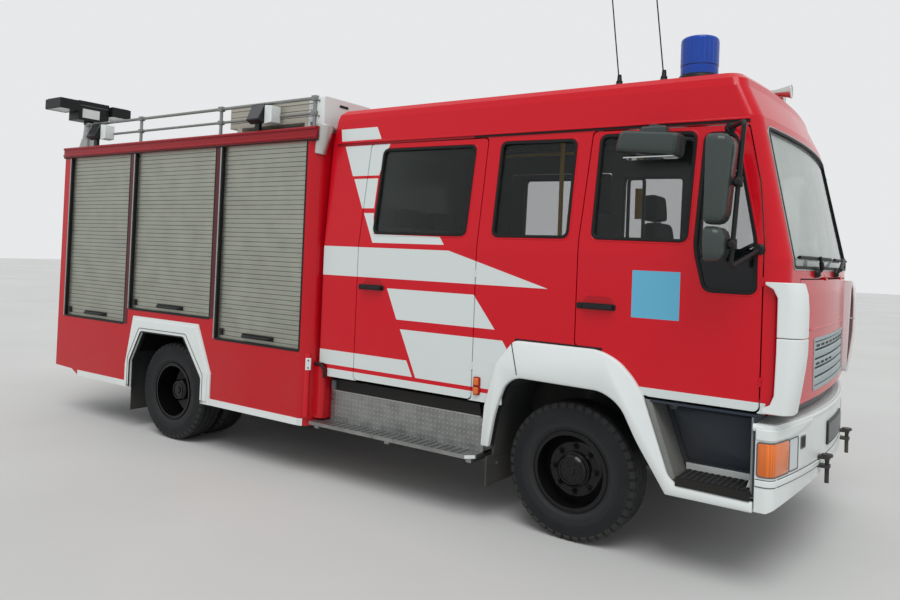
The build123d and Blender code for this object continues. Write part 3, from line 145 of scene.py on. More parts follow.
RED = tone(204, 12, 32)
# A darker copy of the red paint: painted shade on the roof's edge, its ribs, the side marker bases and under
# the drip rails
SHADED_RED = tone(148, 8, 24)
WHITE = tone(226, 232, 231)
STRIPE_WHITE = tone(214, 222, 221)
BLUE = tone(98, 176, 208)
BLACK = tone(22, 23, 25)
# Soft black painted as shade inside the arch mouldings, under the locker body and in its wheel housings
SHADE_BLACK = tone(34, 35, 37)
DUST = tone(122, 112, 98)
TRIM_GREY = tone(64, 67, 68)
STRAY = 0.04              # how far the roughness of paint and plastic strays
BOW = -0.0587             # station of the cab's front per square of the width
CAB_SIDE = 0.97           # width beyond which the cab shows its stripes


def add_node(tree, kind, values=None, **settings):
    """New shader node with its settings, its sockets set or linked."""
    made = tree.nodes.new(kind)
    for name, value in settings.items():
        setattr(made, name, value)
    for socket, value in (values or {}).items():
        if isinstance(value, Value):
            tree.links.new(value.socket, made.inputs[socket])
        else:
            made.inputs[socket].default_value = value
    return made


class Value:
    """A node's output that adds, multiplies and compares through further nodes."""

    def __init__(self, socket):
        self.socket = socket
        self.tree = socket.id_data

    def sums(self, operation, *others):
        """Output of one math node."""
        values = dict(enumerate((self, *others)))
        return Value(add_node(self.tree, "ShaderNodeMath", values, operation=operation).outputs[0])

    __add__ = partialmethod(sums, "ADD")
    __sub__ = partialmethod(sums, "SUBTRACT")
    __mul__ = partialmethod(sums, "MULTIPLY")
    __lt__ = partialmethod(sums, "LESS_THAN")
    __gt__ = partialmethod(sums, "GREATER_THAN")
    least = partialmethod(sums, "MINIMUM")
    most = partialmethod(sums, "MAXIMUM")

    def ramp(self, low, high, to_low=0.0, to_high=1.0):
        """Its range moved to another range, held at its ends."""
        values = {0: self, 1: low, 2: high, 3: to_low, 4: to_high}
        return Value(add_node(self.tree, "ShaderNodeMapRange", values).outputs[0])


def mix(factor, first, second):
    """Mix of two colours, each a colour or a value."""
    first, second = [item if isinstance(item, Value) else (*item, 1.0) for item in (first, second)]
    values = {0: factor, 6: first, 7: second}
    return Value(add_node(factor.tree, "ShaderNodeMix", values, data_type="RGBA").outputs[2])


class Finish:
    """One procedural material: its shader, its tree and the piece's own coordinates."""

    def __init__(self, name, slot, **sockets):
        self.material = bpy.data.materials.new(name)
        self.material.use_nodes = True
        self.slot = slot
        self.tree = self.material.node_tree
        self.shader = self.tree.nodes["Principled BSDF"]
        for socket, value in sockets.items():
            self.shader.inputs[socket.replace("_", " ")].default_value = value
        coordinates = self.node("ShaderNodeTexCoord", output="Object")
        self.place = self.node("ShaderNodeMapping", {"Vector": coordinates})
        parts = add_node(self.tree, "ShaderNodeSeparateXYZ", {0: self.place})
        self.x, self.y, self.z = [Value(part) for part in parts.outputs]

    def node(self, kind, values=None, output=0, **settings):
        """Output of a new node."""
        return Value(add_node(self.tree, kind, values, **settings).outputs[output])

    def link(self, **values):
        """Joins sockets of the shader to values."""
        for socket, value in values.items():
            self.tree.links.new(value.socket, self.shader.inputs[socket.replace("_", " ")])

    def width(self):
        """Distance from the middle plane."""
        return self.y.sums("ABSOLUTE")

    def noise(self, scale, detail=3.0):
        """Soft noise over the piece, about 0 to 1."""
        values = {"Vector": self.place, "Scale": scale, "Detail": detail}
        return self.node("ShaderNodeTexNoise", values, "Fac").ramp(0.3, 0.7)

    def bump(self, height, distance):
        """Fine relief."""
        values = {"Height": height, "Distance": distance, "Strength": 1.0}
        self.link(Normal=self.node("ShaderNodeBump", values))

    def inside(self, corners):
        """1 within a flat outline of the side view, 0 outside it."""
        parts = []
        for (x0, z0), (x1, z1) in zip(corners, corners[1:] + corners[:1]):
            length = math.hypot(x1 - x0, z1 - z0)
            across, up = (z1 - z0) / length, (x0 - x1) / length
            parts.append(self.x * across + self.z * up + -(across * (x0 + AXLE) + up * z0))
        return reduce(Value.least, parts) > 0.0

    def wear(self, colour, rough, dust=0.5, grain=0.0):
        """Paint or plastic with road dust low down, uneven gloss and a fine grain."""
        cloud = self.noise(1.7)
        film = self.z.ramp(0.25, 1.25, 1.0, 0.0) * cloud * dust
        gloss = cloud.ramp(0.0, 1.0, rough - STRAY, rough + STRAY)
        self.link(Base_Color=mix(film, colour, DUST), Roughness=film * 0.4 + gloss)
        if grain:
            self.bump(self.noise(38.0, 2.0), grain)


FINISHES = {}


def finish(name, slot, **sockets):
    """New finish, kept by name."""
    FINISHES[name] = Finish(name, slot, **sockets)
    return FINISHES[name]


def paint(name, slot, colour, rough=0.2, dust=0.12):
    """Glossy vehicle paint."""
    made = finish(name, slot, Coat_Weight=0.1, Coat_Roughness=0.05, Specular_IOR_Level=0.25)
    made.wear(colour(made) if callable(colour) else colour, rough, dust)


def plastic(name, slot, colour, rough=0.45, dust=0.5, grain=0.0004):
    """Moulded plastic or rubber with a fine grain."""
    finish(name, slot, Specular_IOR_Level=0.3).wear(colour, rough, dust, grain)


def metal(name, slot, colour, rough=0.35, scale=14.0, spread=0.2, dust=0.3):
    """Bare or plated metal with an uneven sheen."""
    made = finish(name, slot, Metallic=0.85)
    cloud = made.noise(scale)
    film = made.z.ramp(0.25, 1.1, 1.0, 0.0) * cloud * dust
    made.link(
        Base_Color=mix(film, mix(cloud, shade(colour, 0.82), colour), DUST),
        Roughness=cloud.ramp(0.0, 1.0, rough - spread / 2, rough + spread / 2),
    )


def lens(name, slot, colour, rough=0.06):
    """Moulded lens with fine upright flutes, bumped, and painted shade in bands along them."""
    made = finish(name, slot, Roughness=rough, Coat_Weight=0.4, Coat_Roughness=0.03)
    values = {"Vector": made.place, "Scale": 34.0}
    flute_relief_and_shade = made.node("ShaderNodeTexWave", values, "Fac", bands_direction="Y")
    # the flutes' troughs darkened in the colour: painted shade
    made.link(Base_Color=mix(flute_relief_and_shade, shade(colour, 0.72), colour))
    made.bump(flute_relief_and_shade, 0.0006)


def zoned(name, slot, first, second, zone, rough=0.3):
    """Finish of two colours: zone returns the second colour's mask."""
    made = finish(name, slot, Specular_IOR_Level=0.3)
    made.wear(mix(zone(made), first, second), rough, 0.12)


def slotted(name, slot, colour, pitch, rough=0.35):
    """Shiny tread metal with rows of pressed studs."""
    made = finish(name, slot, Metallic=0.8)
    scaled = made.node("ShaderNodeMapping", {"Vector": made.place, "Scale": (1 / pitch,) * 3})
    cells = {"Vector": scaled, "Scale": 1.0, "Randomness": 0.0}
    stud = made.node("ShaderNodeTexVoronoi", cells, "Distance").ramp(0.18, 0.34, 1.0, 0.0)
    cloud = made.noise(11.0)
    low = mix(cloud, shade(colour, 0.5), shade(colour, 0.75))
    made.link(Base_Color=mix(stud, low, colour), Roughness=cloud.ramp(0.0, 1.0, rough - 0.08, rough + 0.12))
    made.bump(stud, 0.0016)


def window_glass():
    """Lightly tinted pane, clearer from straight ahead than from the side; its colour turns pale towards
    grazing angles, a painted reflection.
    """
    made = finish("window_glass", "window_glass", Roughness=0.02, IOR=1.5, Specular_IOR_Level=0.8)
    facing = made.node("ShaderNodeLayerWeight", {"Blend": 0.35}, "Facing")
    # pale towards grazing angles, a little uneven: painted reflection of the bright surroundings
    grazing_reflection = facing.ramp(0.15, 0.55) * made.noise(3.0).ramp(0.0, 1.0, 0.85, 1.0)
    made.link(
        Alpha=facing.ramp(0.10, 0.50, 0.22, 0.72),
        Base_Color=mix(grazing_reflection, tone(26, 33, 33), tone(186, 197, 192)),
    )


def tyre_rubber(name, station):
    """Tyre of one axle: pale towards the bead, darker wall, dusty worn shoulder, and near-black rings on the
    tread painted as the shade of its grooves.
    """
    made = finish(name, "tyre", Specular_IOR_Level=0.25)
    x, z = made.x - (station + AXLE), made.z - TYRE_R
    radius = (x * x + z * z).sums("SQRT")
    cloud = made.noise(9.0)
    bead = radius.ramp(0.27, 0.335, 1.0, 0.0) * cloud.ramp(0.0, 1.0, 0.6, 1.0)
    worn = radius.ramp(0.398, 0.415, 0.0, 0.3) * made.noise(26.0)
    # near-black rings across the tread: painted shade of grooves that the solid lacks
    groove_shade = (made.width().sums("PINGPONG", 0.024) < 0.0045) * (radius > 0.418)
    wall = mix(worn, mix(bead, tone(30, 32, 34), tone(44, 46, 47)), tone(76, 76, 73))
    made.link(Base_Color=mix(groove_shade, wall, tone(12, 12, 13)), Roughness=cloud.ramp(0.0, 1.0, 0.6, 0.8))
    made.bump(radius.sums("PINGPONG", 0.0165).ramp(0.0, 0.004), 0.0012)


def cab_colour(made):
    """Red with the white stripes and the blue square outside, and grey trim inside."""
    width, bow = made.width(), made.y * made.y * BOW
    side = width > CAB_SIDE
    stripe = reduce(Value.most, [made.inside(corners) for corners in STRIPES])
    colour = mix(stripe * side, RED, STRIPE_WHITE)
    colour = mix(made.inside(BLUE_SQUARE) * side, colour, BLUE)
    station = made.x - AXLE
    measures = (station, station - bow, width, made.z)
    masks = []
    for *shares, limit in TRIM_LIMITS:
        terms = [value * share for value, share in zip(measures, shares) if share]
        masks.append(reduce(Value.__add__, terms) < limit)
    return mix(reduce(Value.__mul__, masks), colour, TRIM_GREY)


def underbody_shade(made):
    """Mask of the painted shade under the locker body and in its wheel housings."""
    return ((made.width() < BODY_HALF - 0.012) * (made.z < 1.042)
            * (made.x < AXLE - 2.200) * (made.x > AXLE + BODY_REAR + 0.004))


def make_finishes():
    """Every material, by name."""
    paint("cab_red", "red_paint", cab_colour, 0.2, 0.10)
    paint("red", "red_paint", RED)
    paint("white", "white_paint", WHITE, 0.3, 0.45)
    # Posts between the shutters: the body's red darkened, painted shade
    paint("shaded_post_red", "red_paint", tone(84, 22, 28), 0.3, 0.1)
    # Handle bowls: the red darkened, painted shade in their recess
    paint("bowl_shade_red", "red_paint", tone(178, 12, 28), 0.25, 0.1)
    paint("black_gloss", "black_paint", tone(16, 17, 20), 0.1, 0.02)
    paint("wheel_gloss", "black_paint", tone(14, 14, 16), 0.14, 0.02)
    paint("stripe_white", "white_paint", STRIPE_WHITE)
    paint("blank_plate", "white_paint", tone(228, 230, 228), 0.35)
    paint("frame_black", "frame_paint", tone(44, 45, 47), 0.5, 0.7)
    paint("dark_panel", "black_plastic", tone(40, 50, 62), 0.4, 0.3)
    plastic("black_plastic", "black_plastic", BLACK, 0.42, 0.1)
    # Black rubber; also black sheets and strips painted as shade in slots, gaps, recesses, behind the grille
    # and under the cornice
    plastic("rubber", "black_plastic", tone(13, 14, 15), 0.55, 0.1)
    plastic("grey_plastic", "grey_plastic", tone(86, 92, 90), 0.5, 0.2)
    plastic("grille_grey", "grey_plastic", tone(158, 170, 172), 0.4, 0.1)
    plastic("lamp_grey", "grey_plastic", tone(92, 94, 96), 0.4, 0.1)
    plastic("shadow_grey", "black_plastic", tone(52, 54, 56), 0.6, 0.0)
    plastic("seat_grey", "grey_plastic", tone(74, 78, 80), 0.6, 0.0)
    plastic("tread_rubber", "tyre", tone(40, 42, 43), 0.75, 0.15)
    plastic("mirror_grey", "grey_plastic", tone(62, 71, 69), 0.24, 0.05)
    plastic("pebbled_grey", "grey_plastic", tone(122, 124, 122), 0.55, 0.4, 0.0015)
    plastic("mudflap", "black_plastic", tone(44, 48, 51), 0.6, 0.25)
    plastic("seat_cloth", "seat_cloth", tone(36, 37, 40), 0.75, 0.0, 0.0006)
    plastic("yellow", "amber_lens", tone(224, 178, 24), 0.4, 0.1)
    metal("aluminium", "shutter_aluminium", tone(170, 172, 160), 0.42, 5.0, 0.12)
    metal("silver_trim", "shutter_aluminium", tone(176, 178, 176), 0.32)
    metal("galvanised", "shutter_aluminium", tone(150, 152, 150), 0.5, 30.0)
    metal("pale_metal", "shutter_aluminium", tone(206, 204, 200), 0.4, 4.0, 0.1, 0.0)
    metal("chrome", "horn_chrome", tone(214, 212, 208), 0.12, 6.0, 0.06, 0.0)
    metal("mirror_glass", "horn_chrome", tone(226, 230, 232), 0.03, 3.0, 0.02, 0.0)
    metal("bright_steel", "horn_chrome", tone(168, 168, 166), 0.3)
    metal("dark_steel", "frame_paint", tone(84, 84, 86), 0.55)
    slotted("tread_plate", "tread_plate", tone(176, 178, 176), 0.034)
    lens("amber", "amber_lens", tone(244, 120, 26))
    lens("red_lens", "red_lens", tone(170, 16, 24))
    lens("blue_lens", "blue_lens", tone(26, 74, 176))
    lens("dark_glass", "window_glass", tone(44, 48, 52))
    lens("reflector_white", "white_paint", tone(236, 240, 240), 0.2)
    # The roof's edge in the darker red, painted shade; the deck in grey
    zoned("roof_red", "red_paint", SHADED_RED, tone(140, 142, 140),
          lambda made: (made.z > DECK_Z - 0.002) * (made.width() < 1.2))
    # The arch mouldings' faces within the side take soft black: painted shade inside the arches
    zoned("arch_white", "white_paint", SHADE_BLACK, WHITE, lambda made: made.width() > 1.128)
    zoned("rear_arch_white", "white_paint", SHADE_BLACK, WHITE, lambda made: made.width() > 1.216)
    # The body takes a darker copy of the cab's red, painted shade, and soft black below, painted shade under
    # it and in its wheel housings
    zoned("shaded_body_red", "red_paint", tone(190, 10, 28), SHADE_BLACK, underbody_shade, 0.2)
    zoned("box_panels", "shutter_aluminium", tone(198, 194, 180), WHITE,
          lambda made: made.x > AXLE - 2.300, 0.5)
    zoned("beacon_parts", "blue_lens", BLACK, tone(24, 70, 170), lambda made: made.z > 2.832, 0.12)
    plastic("area_light", "black_plastic", BLACK, 0.4, 0.12, 0.0)
    zoned("front_lamp_glass", "amber_lens", tone(205, 211, 214), tone(240, 112, 26),
          lambda made: made.width() > 0.960, 0.1)
    zoned("tail_colours", "red_lens", tone(168, 14, 22), tone(240, 128, 24), lambda made: made.z > 0.835, 0.1)
    window_glass()
    tyre_rubber("front_tyre_rubber", 0.0)
    tyre_rubber("rear_tyre_rubber", REAR_AXLE)


# Which finish each solid takes
SOLID_FINISHES = {
    "cab_red": "cab_shell crew_door_right crew_door_left front_door_right front_door_left front_flap",
    "shaded_body_red": "body_shell",
    "roof_red": "body_roof",
    "white": "front_arches front_bumper corner_deflectors",
    "rear_arch_white": "rear_arches",
    "grey_plastic": "front_grille",
    "black_plastic": "dashboard steering_wheel aerials floodlights mast_head",
    "mirror_grey": "mirrors_right mirrors_left",
    "mudflap": "mudguards",
    "tread_plate": "cab_steps",
    "dark_panel": "step_boxes",
    "frame_black": "chassis_frame axles power_train side_tanks rear_guard knuckle_right knuckle_left tie_rod "
                   "towing_pins",
    "dark_steel": "leaf_springs",
    "window_glass": "crew_glass_right crew_glass_left front_glass_right front_glass_left cab_windows",
    "aluminium": "roller_shutters rear_ladder",
    "silver_trim": "mast_tube mast_stage_low mast_stage_high",
    "galvanised": "roof_gallery",
    "box_panels": "roof_box",
    "area_light": "area_lights",
    "tail_colours": "tail_lamps",
    "beacon_parts": "beacons",
    "chrome": "air_horns",
    "front_lamp_glass": "front_lamps",
    "seat_cloth": "cab_seats",
    "front_tyre_rubber": "front_tyre_right front_tyre_left",
    "rear_tyre_rubber": "rear_tyres_right rear_tyres_left",
    "wheel_gloss": "front_wheel_right front_wheel_left rear_wheels_right rear_wheels_left",
}


def paint_solids():
    """Gives every solid its finish."""
    for name, nodes in SOLID_FINISHES.items():
        for node in nodes.split():
            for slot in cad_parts[node].material_slots:
                slot.material = FINISHES[name].material


def at(station, y, z):
    """Point from a station, a width and a height."""
    return Vector((station + AXLE, y, z))


# The two drawn measures and the depth of each view
VIEWS = {
    "side": lambda across, up, depth: at(across, depth, up),
    "front": lambda across, up, depth: at(depth, across, up),
    "plan": lambda across, up, depth: at(across, up, depth),
}


def skin_at(z):
    """Half width, corner station and centre station of the cab's skin at a height."""
    for (low, *below), (top, *above) in zip(CAB_SKIN, CAB_SKIN[1:]):
        if z <= top or top == CAB_SKIN[-1][0]:
            share = (z - low) / (top - low)
            return [a + (b - a) * share for a, b in zip(below, above)]


def bowed(half, corner, centre, y):
    """Station of a bowed front at a width, from its half width and its corner and middle stations."""
    sag = centre - corner
    radius = (half * half + sag * sag) / (2 * sag)
    return centre - radius + math.sqrt(radius * radius - y * y)


def nose_at(y, z):
    """Station of the cab's bowed front."""
    return bowed(*skin_at(z), y)


def bumper_at(y, _z=None):
    """Station of the bumper's bowed front, the same at every height."""
    return bowed(1.150, 1.175, 1.312, y)


def clamp(value):
    """A share held between 0 and 1."""
    return min(max(value, 0.0), 1.0)


def rect(x0, x1, z0, z1):
    """Outline of a rectangle, or the section of a ring."""
    return (x0, z0), (x1, z0), (x1, z1), (x0, z1)


def around(count, radius):
    """Offsets of points spread round a circle."""
    turns = [math.tau * number / count for number in range(count)]
    return [(radius * math.cos(turn), radius * math.sin(turn)) for turn in turns]


def block(x, y, z):
    """Box between (low, high) stations, widths and heights."""
    part = bmesh.new()
    bmesh.ops.create_cube(part, size=1)
    size = [high - low for low, high in (x, y, z)]
    middle = [(high + low) / 2 for low, high in (x, y, z)]
    place = Matrix.Translation(at(*middle)) @ Matrix.Diagonal((*size, 1))
    bmesh.ops.transform(part, matrix=place, verts=part.verts)
    return part


def eased(part, corners, reach, steps):
    """Rounds corners of a flat part."""
    bmesh.ops.bevel(
        part, geom=corners, offset=reach, segments=steps, profile=0.5, affect="VERTICES", material=-1,
    )
    return part


def flat(view, points, depth=0.0, radius=0.0, steps=4):
    """Flat face through an outline, its corners rounded."""
    part = bmesh.new()
    corners = [part.verts.new(VIEWS[view](across, up, depth)) for across, up in points]
    part.faces.new(corners)
    return eased(part, corners, radius, steps) if radius else part


def drawn_out(part, faces, way):
    """Extrudes faces along a way and returns a new one."""
    made = bmesh.ops.extrude_face_region(part, geom=faces)["geom"]
    bmesh.ops.translate(part, vec=way, verts=[item for item in made if isinstance(item, bmesh.types.BMVert)])
    return next(item for item in made if isinstance(item, bmesh.types.BMFace))


def inward(view, depth):
    """Way along a view's depth."""
    return VIEWS[view](0, 0, depth) - VIEWS[view](0, 0, 0)


def plate(view, points, depths, radius=0.0):
    """Outline with a depth, from the first to the second."""
    part = flat(view, points, depths[0], radius)
    drawn_out(part, part.faces[:], inward(view, depths[1] - depths[0]))
    return part


def surround(view, points, width, depths, radius=0.0, grow=0.0):
    """Frame along an outline, its outer edge let out by grow."""
    part = flat(view, points, depths[0], radius)
    if grow:
        middle = sum((vert.co for vert in part.verts), Vector()) / len(part.verts)
        size = [max(abs(vert.co[axis] - middle[axis]) for vert in part.verts) for axis in range(3)]
        scale = [1 + grow / extent if extent > 0.001 else 1 for extent in size]
        bmesh.ops.scale(part, vec=scale, space=Matrix.Translation(-middle), verts=part.verts)
    ring = bmesh.ops.inset_region(
        part, faces=part.faces[:], thickness=width, use_boundary=True, use_even_offset=True,
    )["faces"]
    bmesh.ops.delete(part, geom=[face for face in part.faces if face not in ring], context="FACES")
    drawn_out(part, part.faces[:], inward(view, depths[1] - depths[0]))
    return part


def stacked(view, points, levels, radius=0.0, steps=4):
    """Moulded form: an outline carried through (depth, drawn in by) levels and closed at both ends."""
    part = flat(view, points, levels[0][0], radius, steps)
    (face,) = part.faces[:]
    low, high = [
        Vector([pick(vert.co[axis] for vert in face.verts) for axis in range(3)]) for pick in (min, max)
    ]
    middle = (low + high) / 2
    before = 0.0
    for number, (depth, inset) in enumerate(levels):
        if number:
            face = drawn_out(part, [face], inward(view, depth - levels[number - 1][0]))
        scale = [
            (extent - inset) / (extent - before) if extent > 0.001 else 1.0 for extent in (high - low) / 2
        ]
        bmesh.ops.scale(part, vec=scale, space=Matrix.Translation(-middle), verts=face.verts[:])
        before = inset
    return part


def aim(centre, axis):
    """Place and turn that lay the Z axis along another."""
    turn = Vector((0, 0, 1)).rotation_difference(Vector(axis)).to_matrix().to_4x4()
    return Matrix.Translation(centre) @ turn


def rod(start, end, radius, sides=16, tip=None):
    """Round or six-sided bar between two points, perhaps tapered."""
    part = bmesh.new()
    line = end - start
    bmesh.ops.create_cone(
        part, cap_ends=True, segments=sides, radius1=radius, radius2=radius if tip is None else tip,
        depth=line.length,
    )
    bmesh.ops.transform(part, matrix=aim((start + end) / 2, line), verts=part.verts)
    return part


def peg(x, y, z, *form):
    """Rod along one axis, whose measure is a (start, end) pair."""
    ends = [[item[end] if isinstance(item, tuple) else item for item in (x, y, z)] for end in (0, 1)]
    return rod(at(*ends[0]), at(*ends[1]), *form)


def turned(profile, centre, axis, steps=32):
    """Turned piece: (radius, distance along the axis) points spun about the axis."""
    part = bmesh.new()
    verts = [part.verts.new((radius, 0, along)) for radius, along in profile]
    edges = [part.edges.new(ends) for ends in zip(verts, verts[1:])]
    bmesh.ops.spin(
        part, geom=verts + edges, cent=(0, 0, 0), axis=(0, 0, 1), dvec=(0, 0, 0), angle=math.tau, steps=steps,
        use_merge=True,
    )
    bmesh.ops.remove_doubles(part, verts=part.verts, dist=1e-6)
    bmesh.ops.transform(part, matrix=aim(centre, axis), verts=part.verts)
    return part


def bent(points, bend, steps=5):
    """A path with its corners eased over a length."""
    path = points[:1]
    for before, corner, after in zip(points, points[1:], points[2:]):
        start = corner + (before - corner).normalized() * bend
        end = corner + (after - corner).normalized() * bend
        for step in range(steps + 1):
            share = step / steps
            path.append(start.lerp(corner, share).lerp(corner.lerp(end, share), share))
    return path + points[-1:]


def pipe(points, radius, bend=0.0, sides=10):
    """Round bar along a path."""
    path = bent(points, bend) if bend else points
    part = bmesh.new()
    bmesh.ops.create_circle(part, cap_ends=False, radius=radius, segments=sides)
    ring = part.edges[:]
    turn = Vector((0, 0, 1)).rotation_difference(path[1] - path[0])
    before = Matrix.Translation(path[0]) @ turn.to_matrix().to_4x4()
    bmesh.ops.transform(part, matrix=before, verts=part.verts)
    bmesh.ops.edgeloop_fill(part, edges=ring)
    for step in range(1, len(path)):
        heading = (path[min(step + 1, len(path) - 1)] - path[step - 1]).normalized()
        turn = (turn @ Vector((0, 0, 1))).rotation_difference(heading) @ turn
        after = Matrix.Translation(path[step]) @ turn.to_matrix().to_4x4()
        made = bmesh.ops.extrude_edge_only(part, edges=ring)["geom"]
        fresh = {item for item in made if isinstance(item, bmesh.types.BMVert)}
        ring = [item for item in made if isinstance(item, bmesh.types.BMEdge) and set(item.verts) <= fresh]
        bmesh.ops.transform(part, matrix=after @ before.inverted(), verts=list(fresh))
        before = after
    bmesh.ops.edgeloop_fill(part, edges=ring)
    return part


def cut_through(part, places, normal):
    """Cuts that let a flat part follow a bent skin."""
    for place in places:
        bmesh.ops.bisect_plane(
            part, geom=part.verts[:] + part.edges[:] + part.faces[:], plane_co=place, plane_no=normal,
        )


def hug_side(part):
    """Lays a part drawn at width 0 on the right-hand side of the cab."""
    cut_through(part, [(0, 0, BELT_Z)], (0, 0, 1))
    for vert in part.verts:
        vert.co.y -= skin_at(vert.co.z)[0]
    return part


def hug_front(part, front=nose_at, pitch=0.12):
    """Lays a part drawn at station 0 on the bowed front of the cab or the bumper."""
    span = [vert.co.y for vert in part.verts]
    cuts = range(math.ceil(min(span) / pitch), math.floor(max(span) / pitch) + 1)
    cut_through(part, [(0, cut * pitch, 0) for cut in cuts], (0, 1, 0))
    cut_through(part, [(0, 0, level[0]) for level in CAB_SKIN[1:3]], (0, 0, 1))
    for vert in part.verts:
        vert.co.x += front(vert.co.y, vert.co.z)
    return part


def side_plate(points, depths, radius=0.0):
    """Plate on the side of the cab."""
    return hug_side(plate("side", points, depths, radius))


def front_plate(points, depths, radius=0.0, front=nose_at):
    """Plate on the bowed front of the cab or the bumper."""
    return hug_front(plate("front", points, depths, radius), front)


def run_of(path, y=math.inf):
    """Distance along a plan path to a width, or its whole length."""
    run = 0.0
    for start, end in zip(path, path[1:]):
        if start[1] <= y <= end[1] and end[1] > start[1]:
            return run + math.dist(start, end) * (y - start[1]) / (end[1] - start[1])
        run += math.dist(start, end)
    return run


def wrapped(part, path):
    """Bends a part drawn flat round a plan path: its stations run along it, its widths lie inward."""
    runs = [0.0]
    for start, end in zip(path, path[1:]):
        runs.append(runs[-1] + math.dist(start, end))
    ways = [(Vector(end) - Vector(start)).normalized() for start, end in zip(path, path[1:])]
    normals = [Vector((way.y, -way.x)) for way in ways]
    outward = [normals[0], *[(a + b).normalized() for a, b in zip(normals, normals[1:])], normals[-1]]
    cut_through(part, [at(run, 0, 0) for run in runs[1:-1]], (1, 0, 0))
    for vert in part.verts:
        run = vert.co.x - AXLE
        leg = max([0] + [number for number in range(len(ways)) if runs[number] <= run])
        share = (run - runs[leg]) / (runs[leg + 1] - runs[leg])
        place = Vector(path[leg]).lerp(Vector(path[leg + 1]), share)
        place -= outward[leg].lerp(outward[leg + 1], share).normalized() * vert.co.y
        vert.co.x, vert.co.y = place.x + AXLE, place.y
    return part


def quarter(x, y, radius, steps=8):
    """Plan points of a quarter round, from facing outward to facing forward."""
    turns = [math.pi / 2 * step / steps for step in range(steps + 1)]
    return [(x + radius * math.sin(turn), y - radius * math.cos(turn)) for turn in turns]


def joined(*parts):
    """Several parts as one."""
    whole = bmesh.new()
    for part in parts:
        mesh = bpy.data.meshes.new("part")
        part.to_mesh(mesh)
        part.free()
        whole.from_mesh(mesh)
        bpy.data.meshes.remove(mesh)
    return whole


def mirrored(part):
    """A part turned over to the left side."""
    twin = part.copy()
    bmesh.ops.scale(twin, vec=(1, -1, 1), verts=twin.verts)
    return twin


def dress(name, look, *parts, body="vehicle", bevel=0.0, segments=2):
    """Finishes one piece and lets it ride a body."""
    part = joined(*parts)
    bmesh.ops.remove_doubles(part, verts=part.verts, dist=2e-5)
    bmesh.ops.recalc_face_normals(part, faces=part.faces)
    for face in part.faces:
        face.smooth = True
    for edge in part.edges:
        edge.smooth = len(edge.link_faces) == 2 and edge.calc_face_angle(0) < math.radians(35)
    mesh = bpy.data.meshes.new(name)
    part.to_mesh(mesh)
    part.free()
    piece = bpy.data.objects.new(name, mesh)
    bpy.context.scene.collection.objects.link(piece)
    mesh.materials.append(FINISHES[look].material)
    if bevel:
        edges = piece.modifiers.new("edges", "BEVEL")
        edges.width = bevel
        edges.segments = segments
        edges.limit_method = "ANGLE"
        edges.angle_limit = math.radians(40)
    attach(piece, body)
    FINISHES[look].slot
    return piece


def twins(name, look, *parts, **settings):
    """Right-hand parts and their left-hand twins as one piece."""
    whole = joined(*parts)
    return dress(name, look, whole, mirrored(whole), **settings)


def dress_pair(name, look, *parts, body, **settings):
    """A right-hand piece and its left-hand twin, each on its own body."""
    part = joined(*parts)
    twin = mirrored(part)
    return [
        dress(f"{name}_{side}", look, item, body=f"{body}_{side}", **settings)
        for side, item in (("right", part), ("left", twin))
    ]


def window_seals():
    """Black rubber round every window, in a pressed red flange."""
    for name, outline, body in (
        ("crew_window", CREW_WINDOW, "crew_door"),
        ("front_window", FRONT_WINDOW, "front_door"),
        ("quarter_window", QUARTER_WINDOW, "front_door"),
        ("mid_window", MID_WINDOW, None),
    ):
        for kind, look, bevel, *form in (
            ("seal", "rubber", 0.003, 0.019, (-0.005, 0.030), 0.045, 0.005),
            ("flange", "cab_red", 0.0025, 0.010, (-0.003, 0.006), 0.050, 0.016),
        ):
            ring = hug_side(surround("side", outline, *form))
            if body:
                dress_pair(f"{name}_{kind}", look, ring, body=body, bevel=bevel)
            else:
                twins(f"{name}_{kind}s", look, ring, bevel=bevel)
    for name, look, bevel, *form in (
        ("screen_seal", "rubber", 0.003, 0.017, (0.006, -0.030), 0.045, 0.010),
        ("screen_edge", "silver_trim", 0.002, 0.006, (0.004, -0.006), 0.050, 0.016),
    ):
        dress(name, look, hug_front(surround("front", SCREEN, *form)), bevel=bevel)
    low = ((0.772, 1.584), (1.056, 1.584), (1.054, 1.750), (0.747, 1.750))
    dress_pair("quarter_panel", "black_gloss", side_plate(low, (0.006, 0.030)), body="front_door")


